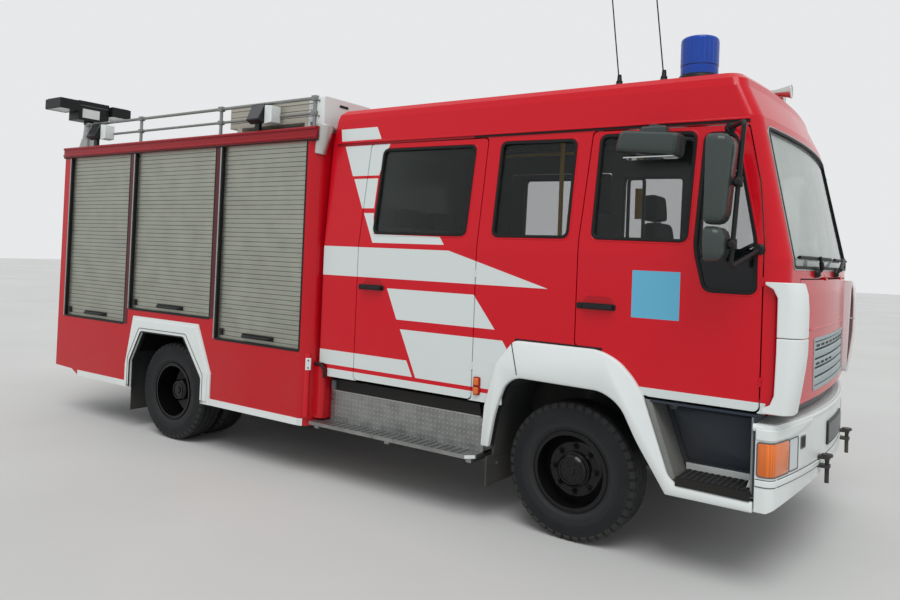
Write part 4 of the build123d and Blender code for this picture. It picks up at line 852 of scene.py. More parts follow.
def side_fittings():
    """Handles, side marker lamps and drip rails of the cab's sides."""
    for body, rear, front, z in (("crew_door", -1.669, -1.435, 1.460), ("front_door", 0.056, 0.301, 1.446)):
        handle = joined(
            plate("side", rect(rear, front, z - 0.019, z + 0.019), (-0.006, 0.004), 0.012),
            block((rear + 0.05, front - 0.012), (-0.034, -0.020), (z - 0.013, z + 0.013)),
            *[
                block((x, x + 0.018), (-0.024, -0.004), (z - 0.010, z + 0.010))
                for x in (rear + 0.05, front - 0.03)
            ],
            peg(rear + 0.026, (-0.004, -0.013), z, 0.011),
        )
        dress_pair(f"{body}_handle", "black_plastic", hug_side(handle), body=body, bevel=0.003)
        low, top = z + 0.010, z + 0.062
        outline = ((rear + 0.03, low), (front, low), (front - 0.03, top), (rear + 0.06, top))
        # bowl: a thin plate in darker red, painted shade standing in for a pressed recess
        bowl = side_plate(outline, (-0.0016, 0.004), 0.022)
        dress_pair(f"{body}_bowl", "bowl_shade_red", bowl, body=body, bevel=0.0012)
    lamps = [block((-0.642, -0.606), (-1.156, -1.134), z) for z in ((0.880, 0.926), (0.822, 0.868))]
    twins("side_marker_lamps", "amber", *lamps, bevel=0.007, segments=3)
    levels = ((-1.129, 0.0), (-1.138, 0.0), (-1.142, 0.006))
    twins("side_marker_bases", "roof_red", stacked("side", rect(-0.650, -0.598, 0.815, 0.933), levels, 0.012))
    for name, look, out, bevel, *line in (
        ("drip_rails", "cab_red", -0.012, 0.003,
         (-1.985, 2.522), (1.0, 2.506), (1.0, 2.518), (-1.985, 2.536)),
        ("drip_rail_shades", "roof_red", -0.005, 0.0,
         (-1.985, 2.506), (-0.750, 2.500), (-0.750, 2.515), (-1.985, 2.522)),
        ("drip_rail_seals", "rubber", -0.005, 0.0,
         (-0.750, 2.502), (1.0, 2.492), (1.0, 2.506), (-0.750, 2.515)),
    ):
        twins(name, look, side_plate(line, (out, 0.004)), bevel=bevel)


def front_arches():
    """White arch mouldings with a stepped face and a lip, a black seal along the top and bolted flaps."""
    part = flat("side", ARCH_LINE, ARCH_INNER)
    for corner, reach in ARCH_ROUND.items():
        x, z = ARCH_LINE[corner]
        eased(part, [min(part.verts, key=lambda item: (item.co - at(x, ARCH_INNER, z)).length)], reach, 8)
    face = drawn_out(part, part.faces[:], (0, -0.079, 0))
    bmesh.ops.recalc_face_normals(part, faces=part.faces)
    bmesh.ops.inset_region(
        part, faces=[face], thickness=0.015, depth=0.008, use_even_offset=True, use_boundary=True,
    )
    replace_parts(twins("arch_mouldings", "arch_white", part, bevel=0.006, segments=3), "front_arches")
    seam = [at(-0.362, -1.1615, 1.178), at(-0.318, -1.1615, 0.985)]
    twins("arch_seams", "shadow_grey", pipe(seam, 0.0035, 0.0, 8))
    top = [at(x, -1.131, 1.201) for x in (-0.352, 0.226)]
    twins("arch_seals", "rubber", pipe(top, 0.0055, 0.03, 8))
    twins("arch_corner_panels", "cab_red", side_plate(rect(-0.564, -0.440, 0.776, 1.032), (0.0007, 0.010)))
    corner = ((0.205, 1.212), (0.290, 1.212), (0.482, 1.026), (0.508, 0.968), (0.430, 0.968), (0.300, 1.100))
    dress_pair("door_corner", "cab_red", side_plate(corner, (0.0006, 0.010)), body="front_door")
    twins(
        "flap_bolts", "bright_steel",
        *[peg((-0.515, -0.508), y, z, 0.011, 6) for y, z in ((-1.03, 0.470), (-1.03, 0.380), (-0.80, 0.470))],
        *[peg((REAR_AXLE - 0.588, REAR_AXLE - 0.580), y, 0.62, 0.011, 6) for y in (-1.12, -0.90)],
    )
    for name, look, grow, radius in (
        ("rear_arch_seals", "rubber", 0.0, 0.006), ("rear_arch_lines", "lamp_grey", 0.030, 0.003),
    ):
        edge = [
            at(REAR_AXLE + x + math.copysign(grow, x), -1.2425, z + grow * (z > 0.5))
            for x, z in REAR_ARCH_EDGE
        ]
        twins(name, look, pipe(edge, radius, 0.02, 8))


def air_deflectors():
    """White rounded shells that stand off the cab's front corners, split at mid height."""
    path = [(1.118, -1.162), *quarter(1.221, -1.077, 0.085), (1.306, -1.002)]
    parts = []
    for points in (
        ((0.0, 1.640), (0.311, 1.640), (0.311, 1.3585), (0.062, 1.3585), (0.062, 1.560), (0.040, 1.604),
         (0.0, 1.626)),
        ((0.062, 1.3545), (0.311, 1.3545), (0.311, 0.965), (0.0, 0.965), (0.0, 0.990), (0.040, 1.012),
         (0.062, 1.060)),
    ):
        shell = plate("side", points, (0.0, 0.014))
        cut_through(shell, [(0, 0, z) for z in (1.05, 1.12, 1.20, 1.28, 1.50, 1.58, 1.62)], (0, 0, 1))
        parts.append(wrapped(shell, path))
    plan = ((1.118, -1.160), (1.221, -1.160), (1.260, -1.152), (1.289, -1.126), (1.303, -1.077),
            (1.303, -1.002), (1.240, -1.002), (1.205, -1.085), (1.165, -1.128), (1.118, -1.135))
    parts += [plate("plan", plan, z) for z in ((1.6265, 1.6395), (0.9655, 0.978))]
    whole = joined(*parts, plate("front", rect(-1.012, -1.000, 0.978, 1.626), (1.235, 1.300)))
    for vert in whole.verts:
        share = clamp((vert.co.x - AXLE - 1.15) / 0.15)
        low, top = clamp((1.30 - vert.co.z) / 0.33), clamp((vert.co.z - 1.52) / 0.12)
        vert.co.x -= share * (0.042 * low ** 1.3 + 0.024 * top ** 2)
    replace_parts(twins("air_deflectors", "white", whole, bevel=0.005, segments=3), "corner_deflectors")


def flap_grille():
    """Light grey slats in a frame, over a black sheet painted as the shade behind them."""
    foot, pitch = 1.049, 0.0518
    parts = [hug_front(surround("front", rect(-0.589, 0.589, 1.027, 1.325), 0.020, (0.004, -0.030), 0.012))]
    for z in [foot + pitch * row for row in range(5)]:
        levels = ((-0.030, 0.0), (-0.006, 0.0), (0.0, 0.006))
        parts.append(hug_front(stacked("front", rect(-0.572, 0.572, z, z + 0.041), levels)))
    slats = dress("grille_slats", "grille_grey", *parts, body="front_flap", bevel=0.002)
    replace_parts(slats, "front_grille")
    # core: a black sheet painted as the shade behind the slats
    core = front_plate(rect(-0.586, 0.586, 1.030, 1.322), (-0.046, -0.032))
    dress("grille_shade_core", "rubber", core, body="front_flap")
    # slots: black plates painted as the shade of openings
    slots = []
    for z, count in ((foot + pitch * 4, 9), (foot + pitch * 2, 4)):
        for y in [-0.52 + 0.13 * number for number in range(count)]:
            slots.append(front_plate(rect(y, y + 0.085, z + 0.014, z + 0.027), (-0.004, 0.0015), 0.006))
    dress("grille_slot_shades", "rubber", *slots, body="front_flap")
    crease = front_plate(rect(-0.70, 0.70, 1.372, 1.384), (-0.004, 0.004))
    dress("flap_crease", "cab_red", crease, body="front_flap", bevel=0.003)


def bumper_fittings():
    """Rounded lip, brows, belt, lamps' frames, blank plate and recesses of the front bumper, with grey lines
    and black plates painted as the shade in its grooves and recesses.
    """
    front = [(bumper_at(y), y) for y in [step * 0.06 - 1.08 for step in range(37)]]
    corner = [(1.094, -1.150), *quarter(1.131, -1.095, 0.055)]
    half = corner + front[:12]
    around_all = corner + front + [(x, -y) for x, y in reversed(corner)]
    total = run_of(around_all)
    lip = [
        at(x - 0.017, y - math.copysign(0.017, y) * (abs(y) > 1.1), 0.886) for x, y in around_all
    ]
    dress("bumper_lip", "white", pipe(lip, 0.0215, 0.0, 14))
    side, clear, end, cover, hole, rim, knee, heel = [
        run_of(half, y) for y in (-0.957, -0.945, -0.828, -0.700, -0.800, -0.722, -0.62, -0.60)
    ]
    lamp = rect(0.010, side, 0.641, 0.811)
    lens_form = stacked("side", lamp, ((0.004, 0.0), (-0.002, 0.0), (-0.006, 0.006)), 0.014)
    twins("indicator_lenses", "amber", wrapped(lens_form, half))
    frames = [
        surround("side", lamp, 0.007, (0.003, -0.004), 0.016, 0.006),
        surround("side", rect(clear, end, 0.641, 0.811), 0.006, (0.003, -0.003), 0.012, 0.004),
    ]
    recess = rect(hole, rim, 0.735, 0.806)
    brow = ((0.0, 0.826), (side, 0.826), (hole, 0.840), (knee, 0.868), (heel, 0.882), (0.0, 0.882))
    for name, look, bevel, segments, *parts in (
        ("lamp_frames", "lamp_grey", 0.0015, 2, *frames),
        ("lamp_covers", "white", 0.002, 2, plate("side", rect(end, cover, 0.634, 0.820), (0.004, -0.003))),
        ("washer_rims", "lamp_grey", 0.002, 2, surround("side", recess, 0.008, (0.0, -0.006), 0.010)),
        # black plates painted as the shade of the washer recesses
        ("washer_recesses", "rubber", 0.0, 2, plate("side", recess, (-0.001, -0.004), 0.010)),
        ("lamp_brows", "white", 0.005, 3, plate("side", brow, (0.004, -0.009))),
    ):
        twins(name, look, *[wrapped(part, half) for part in parts], bevel=bevel, segments=segments)
    # two thin grey lines along the belt and one in the gap above the bumper: painted shade of grooves
    belt, *lines = [
        wrapped(plate("side", rect(0.0, total, z, z + height), depths), around_all)
        for z, height, depths in (
            (0.589, 0.030, (0.004, -0.005)),
            (0.5830, 0.0045, (0.003, -0.0012)), (0.6215, 0.0045, (0.003, -0.0012)),
        )
    ]
    dress("bumper_belt", "white", belt, bevel=0.003)
    lines.append(front_plate(rect(-0.62, 0.62, 0.908, 0.938), (-0.075, -0.090), 0.0, bumper_at))
    dress("bumper_groove_shades", "lamp_grey", *lines)
    outer = front_plate(rect(-0.275, 0.275, 0.672, 0.812), (0.0, 0.010), 0.012, bumper_at)
    dress("front_plate_frame", "black_plastic", outer, bevel=0.002)
    inner = front_plate(rect(-0.258, 0.258, 0.687, 0.797), (0.009, 0.013), 0.008, bumper_at)
    dress("front_plate", "lamp_grey", inner, bevel=0.001)


def wipers():
    """Two wiper arms with their blades along the foot of the windscreen."""
    arms, blades = [], []
    boss = (*rect(0.0, 0.026, 0.0, 0.018)[:3], (0.018, 0.030), (0.0, 0.030))
    blade_z = 1.775
    for pivot, start, end in ((-0.60, -0.98, -0.26), (-0.02, -0.12, 0.60)):
        spot = at(nose_at(pivot, 1.690) - 0.004, pivot, 1.690)
        arms.append(turned(boss, spot, (1, 0, 0.2), 20))
        middle = (start + end) / 2
        elbow = at(nose_at(pivot, 1.72) + 0.034, pivot + 0.01, 1.715)
        tip = at(nose_at(middle, blade_z) + 0.030, middle, 1.785)
        arms.append(pipe([spot + Vector((0.020, 0, 0.004)), elbow, tip], 0.009, 0.012, 8))
        arms.append(pipe([elbow, elbow.lerp(tip, 0.55)], 0.013, 0.0, 8))
        run = [
            at(nose_at(y, blade_z) + 0.016, y, blade_z)
            for y in (start, (start + middle) / 2, middle, (middle + end) / 2, end)
        ]
        blades.append(pipe(run, 0.0095, 0.0, 6))
        blades.append(pipe([point + Vector((-0.009, 0, -0.002)) for point in run], 0.005, 0.0, 4))
    dress("wiper_arms", "black_plastic", *arms, bevel=0.001)
    dress("wiper_blades", "rubber", *blades)


def front_steps():
    """Pebbled side panels, raised panel, white sill and studded tread of the front steps."""
    rear = ((0.5240, 0.936), (0.5365, 0.936), (0.6825, 0.538), (0.6705, 0.538))
    twins("step_sides", "pebbled_grey", plate("side", rear, (-1.1415, -0.935)),
          plate("side", rect(1.0680, 1.0790, 0.538, 0.934), (-1.1395, -0.935)), bevel=0.002)
    edge = ((0.4980, 0.950), (0.5240, 0.950), (0.6740, 0.536), (0.6540, 0.522))
    twins("step_rims", "pebbled_grey", plate("side", edge, (-1.1425, -1.120)), bevel=0.002)
    panel = ((0.690, 0.605), (1.052, 0.605), (1.052, 0.905), (0.582, 0.905))
    levels = ((-0.934, 0.0), (-0.944, 0.002), (-0.952, 0.014))
    twins("step_panels", "dark_panel", stacked("side", panel, levels, 0.02))
    knob = ((0.0, 0.0), (0.026, 0.0), (0.026, 0.012), (0.015, 0.018), (0.0, 0.018))
    twins("step_fittings", "lamp_grey", turned(knob, at(0.600, -0.948, 0.905), (0, -1, 0), 20))
    bracket = ((1.040, 0.553), (1.066, 0.553), (1.066, 0.600), (1.056, 0.600))
    twins("step_sills", "white", block((0.682, 1.066), (-0.952, -0.936), (0.553, 0.590)),
          plate("side", bracket, (-1.10, -0.95)), bevel=0.003)
    studs = [
        peg(0.712 + 0.0312 * column, -0.972 - 0.034 * row, (0.553, 0.562), 0.0165, 4, 0.006)
        for row in range(6) for column in range(12)
    ]
    twins("step_treads", "rubber", block((0.688, 1.074), (-1.164, -1.150), (0.508, 0.555)), *studs)


def crew_steps():
    """Reflectors, dark top band, lips and holes of the long steps under the crew doors."""
    edge = ((-0.655, -1.2035), (-0.605, -1.1535), (-0.603, -1.1555), (-0.653, -1.2055))
    twins("step_reflectors", "reflector_white", plate("plan", edge, (0.4135, 0.4355)))
    band = ((-1.950, 0.668), (-0.622, 0.668), (-0.638, 0.748), (-1.950, 0.748))
    twins("step_shadow_bands", "rubber", plate("side", band, (-1.0665, -1.0605)))
    blocks = block((-1.940, -1.900), (-1.085, -1.062), (0.672, 0.742))
    twins("step_end_blocks", "lamp_grey", blocks, bevel=0.004)
    lip = plate("side", rect(-1.950, -0.622, 0.658, 0.670), (-1.072, -1.060))
    twins("step_riser_lips", "silver_trim", lip, bevel=0.002)
    holes = [
        peg(-1.97 + 0.055 * number, -1.185 + 0.0265 * row, (0.4365, 0.4385), 0.0085, 6)
        for number in range(24) for row in range(5)
    ]
    twins("step_perforations", "shadow_grey", *holes)


def mirrors():
    """Deep mirrors, leant forward at their tops, on their arms, and a kerb mirror over the right door."""
    arm_y, arm_foot, body = -1.350, 1.712, "front_door"
    parts = defaultdict(list)
    for z, clip, lean in (((1.925, 2.385), 2.140, 0.036), ((1.735, 1.912), 1.825, 0.006)):
        corners = rect(-1.440, -1.243, *z)
        levels = ((0.871, 0.010), (0.870, 0.004), (0.876, 0.0), (0.915, 0.0), (0.938, 0.006),
                  (0.954, 0.020), (0.964, 0.040), (0.968, 0.065))
        shell = stacked("front", corners, levels, 0.046, 5)
        for vert in shell.verts:
            share = max((vert.co.x - AXLE - 0.88) / 0.088, 0.0)
            vert.co.x += lean * share * (vert.co.z - z[0]) / (z[1] - z[0])
        parts["shells"].append(shell)
        parts["glasses"].append(stacked("front", corners, ((0.8715, 0.016), (0.8685, 0.018)), 0.042, 5))
        x = 0.989 + 0.045 * (clip - arm_foot) / 0.733
        cap = ((0.0, 0.0), (0.020, 0.0), (0.022, 0.008), (0.016, 0.020), (0.0, 0.022))
        parts["knobs"] += [
            peg(x, arm_y, (clip - 0.026, clip + 0.026), 0.0215, 18),
            peg((0.962, x + 0.006), arm_y, clip, 0.016, 16),
            turned(cap, at(x, -1.366, clip), (0, -1, 0), 18),
        ]
    bar = [at(*point) for point in (
        (0.900, -1.085, 2.462), (1.034, arm_y, 2.445), (0.989, arm_y, arm_foot), (1.078, -1.123, 1.806),
    )]
    foot = ((0.0, 0.0), (0.030, 0.0), (0.030, 0.010), (0.018, 0.022), (0.0, 0.022))
    spots = (at(0.900, -1.074, 2.462), at(1.078, -1.120, 1.806))
    feet = [turned(foot, spot, (0, -1, 0), 20) for spot in spots]
    shells = dress_pair("mirror_shells", "mirror_grey", *parts["shells"], body=body)
    for shell, side in zip(shells, ("right", "left")):
        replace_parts(shell, f"mirrors_{side}")
    dress_pair("mirror_glasses", "mirror_glass", *parts["glasses"], body=body)
    dress_pair("mirror_knobs", "black_plastic", *parts["knobs"], body=body, bevel=0.002)
    dress_pair("mirror_arm", "black_plastic", pipe(bar, 0.0125, 0.028, 12), *feet, body=body)
    corners = ((0.304, 2.340), (0.338, 2.462), (0.678, 2.428), (0.662, 2.302))
    levels = ((-1.106, 0.030), (-1.110, 0.012), (-1.122, 0.0), (-1.222, 0.0), (-1.250, 0.007),
              (-1.264, 0.022), (-1.268, 0.040))
    body = "front_door_right"
    dress("kerb_mirror_shell", "mirror_grey", stacked("side", corners, levels, 0.024), body=body)
    glass = stacked("plan", rect(0.345, 0.645, -1.235, -1.130), ((2.3065, 0.0), (2.3000, 0.002)), 0.02)
    dress("kerb_mirror_glass", "mirror_glass", glass, body=body)
    base = ((0.445, -1.240), (0.600, -1.240), (0.580, -1.080), (0.460, -1.080))
    mount = stacked("plan", base, ((2.430, 0.0), (2.462, 0.0), (2.474, 0.010)), 0.02)
    pin = peg(0.520, -1.200, (2.462, 2.484), 0.030, 18)
    dress("kerb_mirror_mount", "mirror_grey", mount, pin, body=body, bevel=0.002)


def shutter_trim():
    """Silver and black guide strips, handles, locks and sills of the roller shutters."""
    parts = defaultdict(list)
    y = -BODY_HALF
    for rear, front, sill in SHUTTERS:
        up = (sill, SHUTTER_HEAD)
        parts["guides"].append(block((rear - 0.028, rear - 0.014), (y - 0.006, y + 0.004), up))
        parts["seals"] += [
            block((rear - 0.014, rear + 0.002), (y - 0.003, y + 0.030), up),
            block((front - 0.004, front + 0.010), (y - 0.0025, y + 0.030), up),
            block((rear, front), (y - 0.003, y + 0.030), (sill - 0.008, sill + 0.008)),
        ]
        # posts between the shutters in a darker red: painted shade
        if front != SHUTTERS[-1][1]:
            parts["posts"].append(block((front + 0.010, front + 0.058), (y - 0.0022, y + 0.004), up))
        middle, z = (rear + front) / 2, sill + 0.052
        grip = [at(middle + x, y + out, z) for x, out in (
            (-0.155, 0.026), (-0.145, -0.010), (0.145, -0.010), (0.155, 0.026),
        )]
        parts["handles"] += [
            pipe(grip, 0.012, 0.014),
            block((middle - 0.18, middle + 0.18), (y + 0.016, y + 0.026), (z - 0.018, z + 0.018)),
        ]
        parts["locks"] += [
            block((rear + 0.030, rear + 0.070), (y + 0.010, y + 0.026), (sill + 0.035, sill + 0.090)),
            peg(rear + 0.050, (y + 0.012, y + 0.004), sill + 0.062, 0.012),
        ]
    for name, look, bevel in (
        ("guides", "silver_trim", 0.002), ("seals", "rubber", 0.0), ("posts", "shaded_post_red", 0.0),
        ("handles", "black_plastic", 0.002), ("locks", "black_plastic", 0.002),
    ):
        twins(f"shutter_{name}", look, *parts[name], bevel=bevel)
    x, up = BODY_REAR, (REAR_SHUTTER_SILL, SHUTTER_HEAD)
    rail = block((x - 0.005, x + 0.030), (-0.560, -0.547), up)
    twins("rear_shutter_guides", "silver_trim", rail, bevel=0.002)
    # black strip painted as the shade of the gap beside the guide
    twins("rear_shutter_gap_shades", "rubber", block((x + 0.004, x + 0.030), (-0.547, -0.529), up))
    grip = [at(x + out, across, 1.03) for out, across in (
        (0.026, -0.155), (-0.010, -0.145), (-0.010, 0.145), (0.026, 0.155),
    )]
    back = block((x + 0.016, x + 0.026), (-0.18, 0.18), (1.002, 1.058))
    dress("rear_shutter_handle", "black_plastic", pipe(grip, 0.012, 0.014), back, bevel=0.002)


def body_trim():
    """Cornice ribs, front posts, reflectors and the rear plate and lamps' frames."""
    x, y = BODY_REAR, -BODY_HALF
    length, heights = (x - 0.010, CORNICE_END), (2.632, 2.566)
    # black strip along the cornice's foot: painted shade under it
    twins("cornice_shade_lines", "rubber", block(length, (y - 0.013, y), (2.5375, 2.5475)))
    twins("cornice_ribs", "roof_red", *[peg(length, y - 0.010, z, 0.013, 12) for z in heights])
    dress("rear_cornice_ribs", "roof_red", *[peg(length[0], (-1.228, 1.228), z, 0.013, 12) for z in heights])
    post = rod(at(-2.088, -1.160, 2.440), at(-2.050, -1.146, 2.662), 0.045, 32, 0.066)
    twins("post_cones", "pale_metal", post, bevel=0.003)
    path = [(-2.160, -1.2275), *quarter(-2.150, -1.130, 0.0975)[:5]]
    skirt = plate("side", rect(0.0, 0.060, 0.392, 0.444), (0.0, 0.009))
    twins("skirt_ends", "stripe_white", wrapped(skirt, path))
    twins("corner_beads", "red", peg(-2.083, -1.198, (0.458, 0.935), 0.022, 20), bevel=0.004)
    mark = ((-2.0785, -1.2275), (-2.0495, -1.1985), (-2.0560, -1.1920), (-2.0850, -1.2210))
    twins("corner_reflectors", "reflector_white", plate("plan", mark, (0.812, 0.902)), bevel=0.003)
    rivets = [rod(at(-2.064, -1.213, z), at(-2.061, -1.216, z), 0.006, 10) for z in (0.830, 0.884)]
    twins("reflector_rivets", "lamp_grey", *rivets)
    line = [at(station, -1.152, z) for station, z in (
        (-2.055, 0.858), (-1.990, 0.858), (-1.956, 0.826), (-1.956, 0.762),
    )]
    twins("corner_seals", "rubber", pipe(line, 0.011, 0.028))
    marks = block((x - 0.010, x), (-1.175, -1.095), (0.480, 0.520))
    twins("rear_reflectors", "red_lens", marks, bevel=0.003)
    holder = block((x - 0.006, x), (-0.925, -0.645), (0.615, 0.835))
    dress("rear_plate_frame", "black_plastic", holder, bevel=0.002)
    blank = block((x - 0.009, x - 0.005), (-0.913, -0.657), (0.627, 0.823))
    dress("rear_plate", "blank_plate", blank, bevel=0.001)
    bezels = [
        surround("front", rect(-1.193, -1.077, z - 0.003, z + 0.133), 0.007, (x - 0.034, x))
        for z in (0.560, 0.700, 0.840)
    ]
    twins("tail_lamp_frames", "black_plastic", *bezels, bevel=0.002)


def roof_fittings():
    """Roof box panels, gallery clamps, area light brackets and the deck's tread strips."""
    x0, x1 = -3.230, -2.190
    lines = [
        peg((x0 + 0.01, x1 - 0.01), y, z, 0.0025, 6)
        for y in (-1.0850, -0.5750) for z in (2.757, 2.806, 2.856)
    ]
    dress("roof_box_lines", "lamp_grey", *lines)
    levels = ((-2.200, 0.004), (-2.196, 0.0), (-2.120, 0.0), (-2.112, 0.008))
    end = stacked("front", rect(-1.112, -0.560, 2.660, 2.907), levels, 0.022)
    flange = plate("side", rect(-2.245, x1, 2.708, 2.904), (-1.094, -1.084))
    dress("roof_box_end", "white", end, flange, bevel=0.002)
    bolts = [
        peg(x, (y, y - 0.007), z, radius, 12)
        for x, y, radius in ((-2.222, -1.093, 0.010), (-2.160, -1.111, 0.009)) for z in (2.745, 2.865)
    ]
    dress("roof_box_bolts", "bright_steel", *bolts, bevel=0.001)
    # black plate painted as the shade of a slot in the box's end
    slot = plate("front", rect(-0.94, -0.84, 2.838, 2.858), (-2.115, -2.109), 0.009)
    dress("roof_box_slot_shade", "rubber", slot)
    lid = block((x0 - 0.004, x1 - 0.01), (-1.089, -0.571), (2.893, 2.9095))
    dress("roof_box_lid", "box_panels", lid, bevel=0.004)
    clamps = []
    for x in (-5.380, -4.470, -3.312, -2.200):
        for z, radius in ((2.885, 0.020), (2.768, 0.018)):
            clamps.append(block(
                (x - 0.026, x + 0.026), (GALLERY_Y - radius, GALLERY_Y + radius), (z - radius, z + radius),
            ))
            clamps.append(peg(x + 0.015, (-1.136, -1.146), z, 0.007, 6))
        clamps.append(block((x - 0.045, x + 0.045), (-1.160, -1.080), (DECK_Z + 0.0005, 2.632)))
    twins("gallery_clamps", "galvanised", *clamps, bevel=0.003)
    parts = defaultdict(list)
    for x in (-5.075, -2.740):
        bracket = ((x + 0.078, 2.704), (x + 0.160, 2.712), (x + 0.160, 2.842), (x + 0.078, 2.852))
        levels = ((GALLERY_Y, 0.002), (-1.122, 0.0), (-1.214, 0.0), (-1.217, 0.002))
        parts["brackets"].append(stacked("side", bracket, levels, 0.004))
        turn = Matrix.Translation(at(x, -1.212, 2.785)) @ Matrix.Rotation(math.radians(-25), 4, "X")
        turn = turn @ Matrix.Translation((-x - AXLE, 0, 0))
        parts["lenses"].append(block((x - 0.066, x + 0.066), (-0.034, -0.028), (-0.066, 0.066)))
        fins = [
            block((x - 0.070, x + 0.070), (0.026, 0.034), (z - 0.004, z + 0.004))
            for z in [0.028 * step - 0.056 for step in range(5)]
        ]
        parts["fins"] += fins
        for part in (parts["lenses"][-1], *fins):
            bmesh.ops.transform(part, matrix=turn, verts=part.verts)
    twins("area_light_brackets", "white", *parts["brackets"], bevel=0.0015)
    twins("area_light_lenses", "dark_glass", *parts["lenses"], bevel=0.003)
    twins("area_light_fins", "black_plastic", *parts["fins"])
    strips = [
        block((-5.50, -2.40), (y - 0.004, y + 0.004), (2.6215, 2.6255))
        for y in (-0.9, -0.6, -0.3, 0.0, 0.3, 0.6, 0.9)
    ]
    dress("deck_ribs", "galvanised", *strips)


def mast_fittings():
    """Silver collar, blank label, fins and lenses of the light mast."""
    x, y = MAST
    collar = ((0.052, 0.0), (0.086, 0.0), (0.086, 0.014), (0.062, 0.110), (0.062, 0.128), (0.052, 0.128))
    dress("mast_collar", "silver_trim", turned(collar, at(x, y, DECK_Z + 0.0005), (0, 0, 1)), bevel=0.002)
    label = block((x + 0.090, x + 0.0925), (y - 0.120, y + 0.060), (2.955, 3.045))
    dress("mast_label", "blank_plate", label, body="mast_head", bevel=0.001)
    seam = block((x - 0.092, x + 0.092), (y - 0.162, y + 0.162), (3.074, 3.082))
    caps = [peg(x, (y + side * 0.168, y + side * 0.160), 3.060, 0.030, 24) for side in (-1, 1)]
    dress("mast_head_trim", "lamp_grey", seam, *caps, body="mast_head", bevel=0.001)
    lenses, fins = [], []
    for middle in (y - 0.2725, y + 0.2725):
        lenses.append(block((x - 0.125, x + 0.125), (middle - 0.088, middle + 0.088), (3.0105, 3.0155)))
        across = (middle - 0.092, middle + 0.092)
        for place in [x - 0.112 + 0.028 * step for step in range(9)]:
            fins.append(block((place - 0.004, place + 0.004), across, (3.104, 3.114)))
        rim = rect(x - 0.139, x + 0.139, middle - 0.101, middle + 0.101)
        fins.append(surround("plan", rim, 0.012, (3.009, 3.016)))
    dress("floodlight_lenses", "dark_glass", *lenses, body="floodlights", bevel=0.002)
    dress("floodlight_fins", "black_plastic", *fins, body="floodlights")


def roof_signals():
    """Bands, ribs and feet of the blue beacons, mouths of the horns and feet of the aerials."""
    rings, ribs, mouths = [], [], []
    up, ahead = (0, 0, 1), (1, 0, 0)
    base = ((0.100, 0.0), (0.124, 0.0), (0.124, 0.012), (0.118, 0.030), (0.100, 0.030))
    crown = ((0.060, 0.2602), (0.075, 0.2602), (0.072, 0.2625), (0.063, 0.2625))
    for y in (-0.800, 0.800):
        spot = at(0.640, y, ROOF_Z)
        rings += [
            turned(rect(0.106, 0.1095, 0.088, 0.093), spot, up, 40), turned(base, spot, up, 40),
            block((0.520, 0.560), (y - 0.020, y + 0.020), (2.796, 2.822)),
        ]
        ribs += [peg(0.640 + x, y + across, (2.892, 3.030), 0.0020, 5) for x, across in around(*BEACON_RIBS)]
        ribs.append(turned(crown, spot, up))
    dress("beacon_rings", "black_plastic", *rings, bevel=0.002)
    dress("beacon_ribs", "blue_lens", *ribs)
    bell = ((0.034, -0.020), (0.043, -0.003), (0.0475, 0.001), (0.045, 0.004), (0.038, 0.002),
            (0.026, -0.020))
    for y, tip in ((-0.060, 1.016), (0.070, 0.950)):
        mouths += [
            turned(bell, at(tip, y, HORN_Z), ahead), peg((0.700, 0.755), y, HORN_Z, 0.030, 24),
            *[turned(rect(0.0175, 0.0235, -0.004, 0.004), at(x, y, HORN_Z), ahead, 24) for x in (0.80, 0.86)],
        ]
    dress("horn_mouths", "chrome", *mouths, bevel=0.001)
    foot = ((0.0, 0.0), (0.030, 0.0), (0.030, 0.008), (0.016, 0.030), (0.012, 0.075), (0.0, 0.080))
    feet = [turned(foot, at(x, -0.880, ROOF_Z), up, 20) for x in (0.175, 0.455)]
    dress("aerial_feet", "black_plastic", *feet)


def tyre_lugs(station, middles, name, body):
    """Shoulder blocks of the tread, round each tyre on one axle end."""
    section = ((0.078, 0.4207), (0.101, 0.4150), (0.1145, 0.3920), (0.1110, 0.3860), (0.104, 0.402),
               (0.074, 0.4140))
    centre = Matrix.Translation(at(station, 0, TYRE_R))
    back = Matrix.Translation(at(-station - 2 * AXLE, 0, 0))
    lugs = []
    for middle in middles:
        for side in (-1, 1):
            points = [(middle + side * out, up) for out, up in section]
            for number in range(TREAD_BLOCKS):
                lug = plate("front", points, (station - 0.0195, station + 0.0195))
                turn = Matrix.Rotation(math.tau * (number + 0.5 * (side > 0)) / TREAD_BLOCKS, 4, "Y")
                bmesh.ops.transform(lug, matrix=centre @ turn @ back, verts=lug.verts)
                lugs.append(lug)
    dress_pair(f"{name}_tread", "tread_rubber", *lugs, body=body)


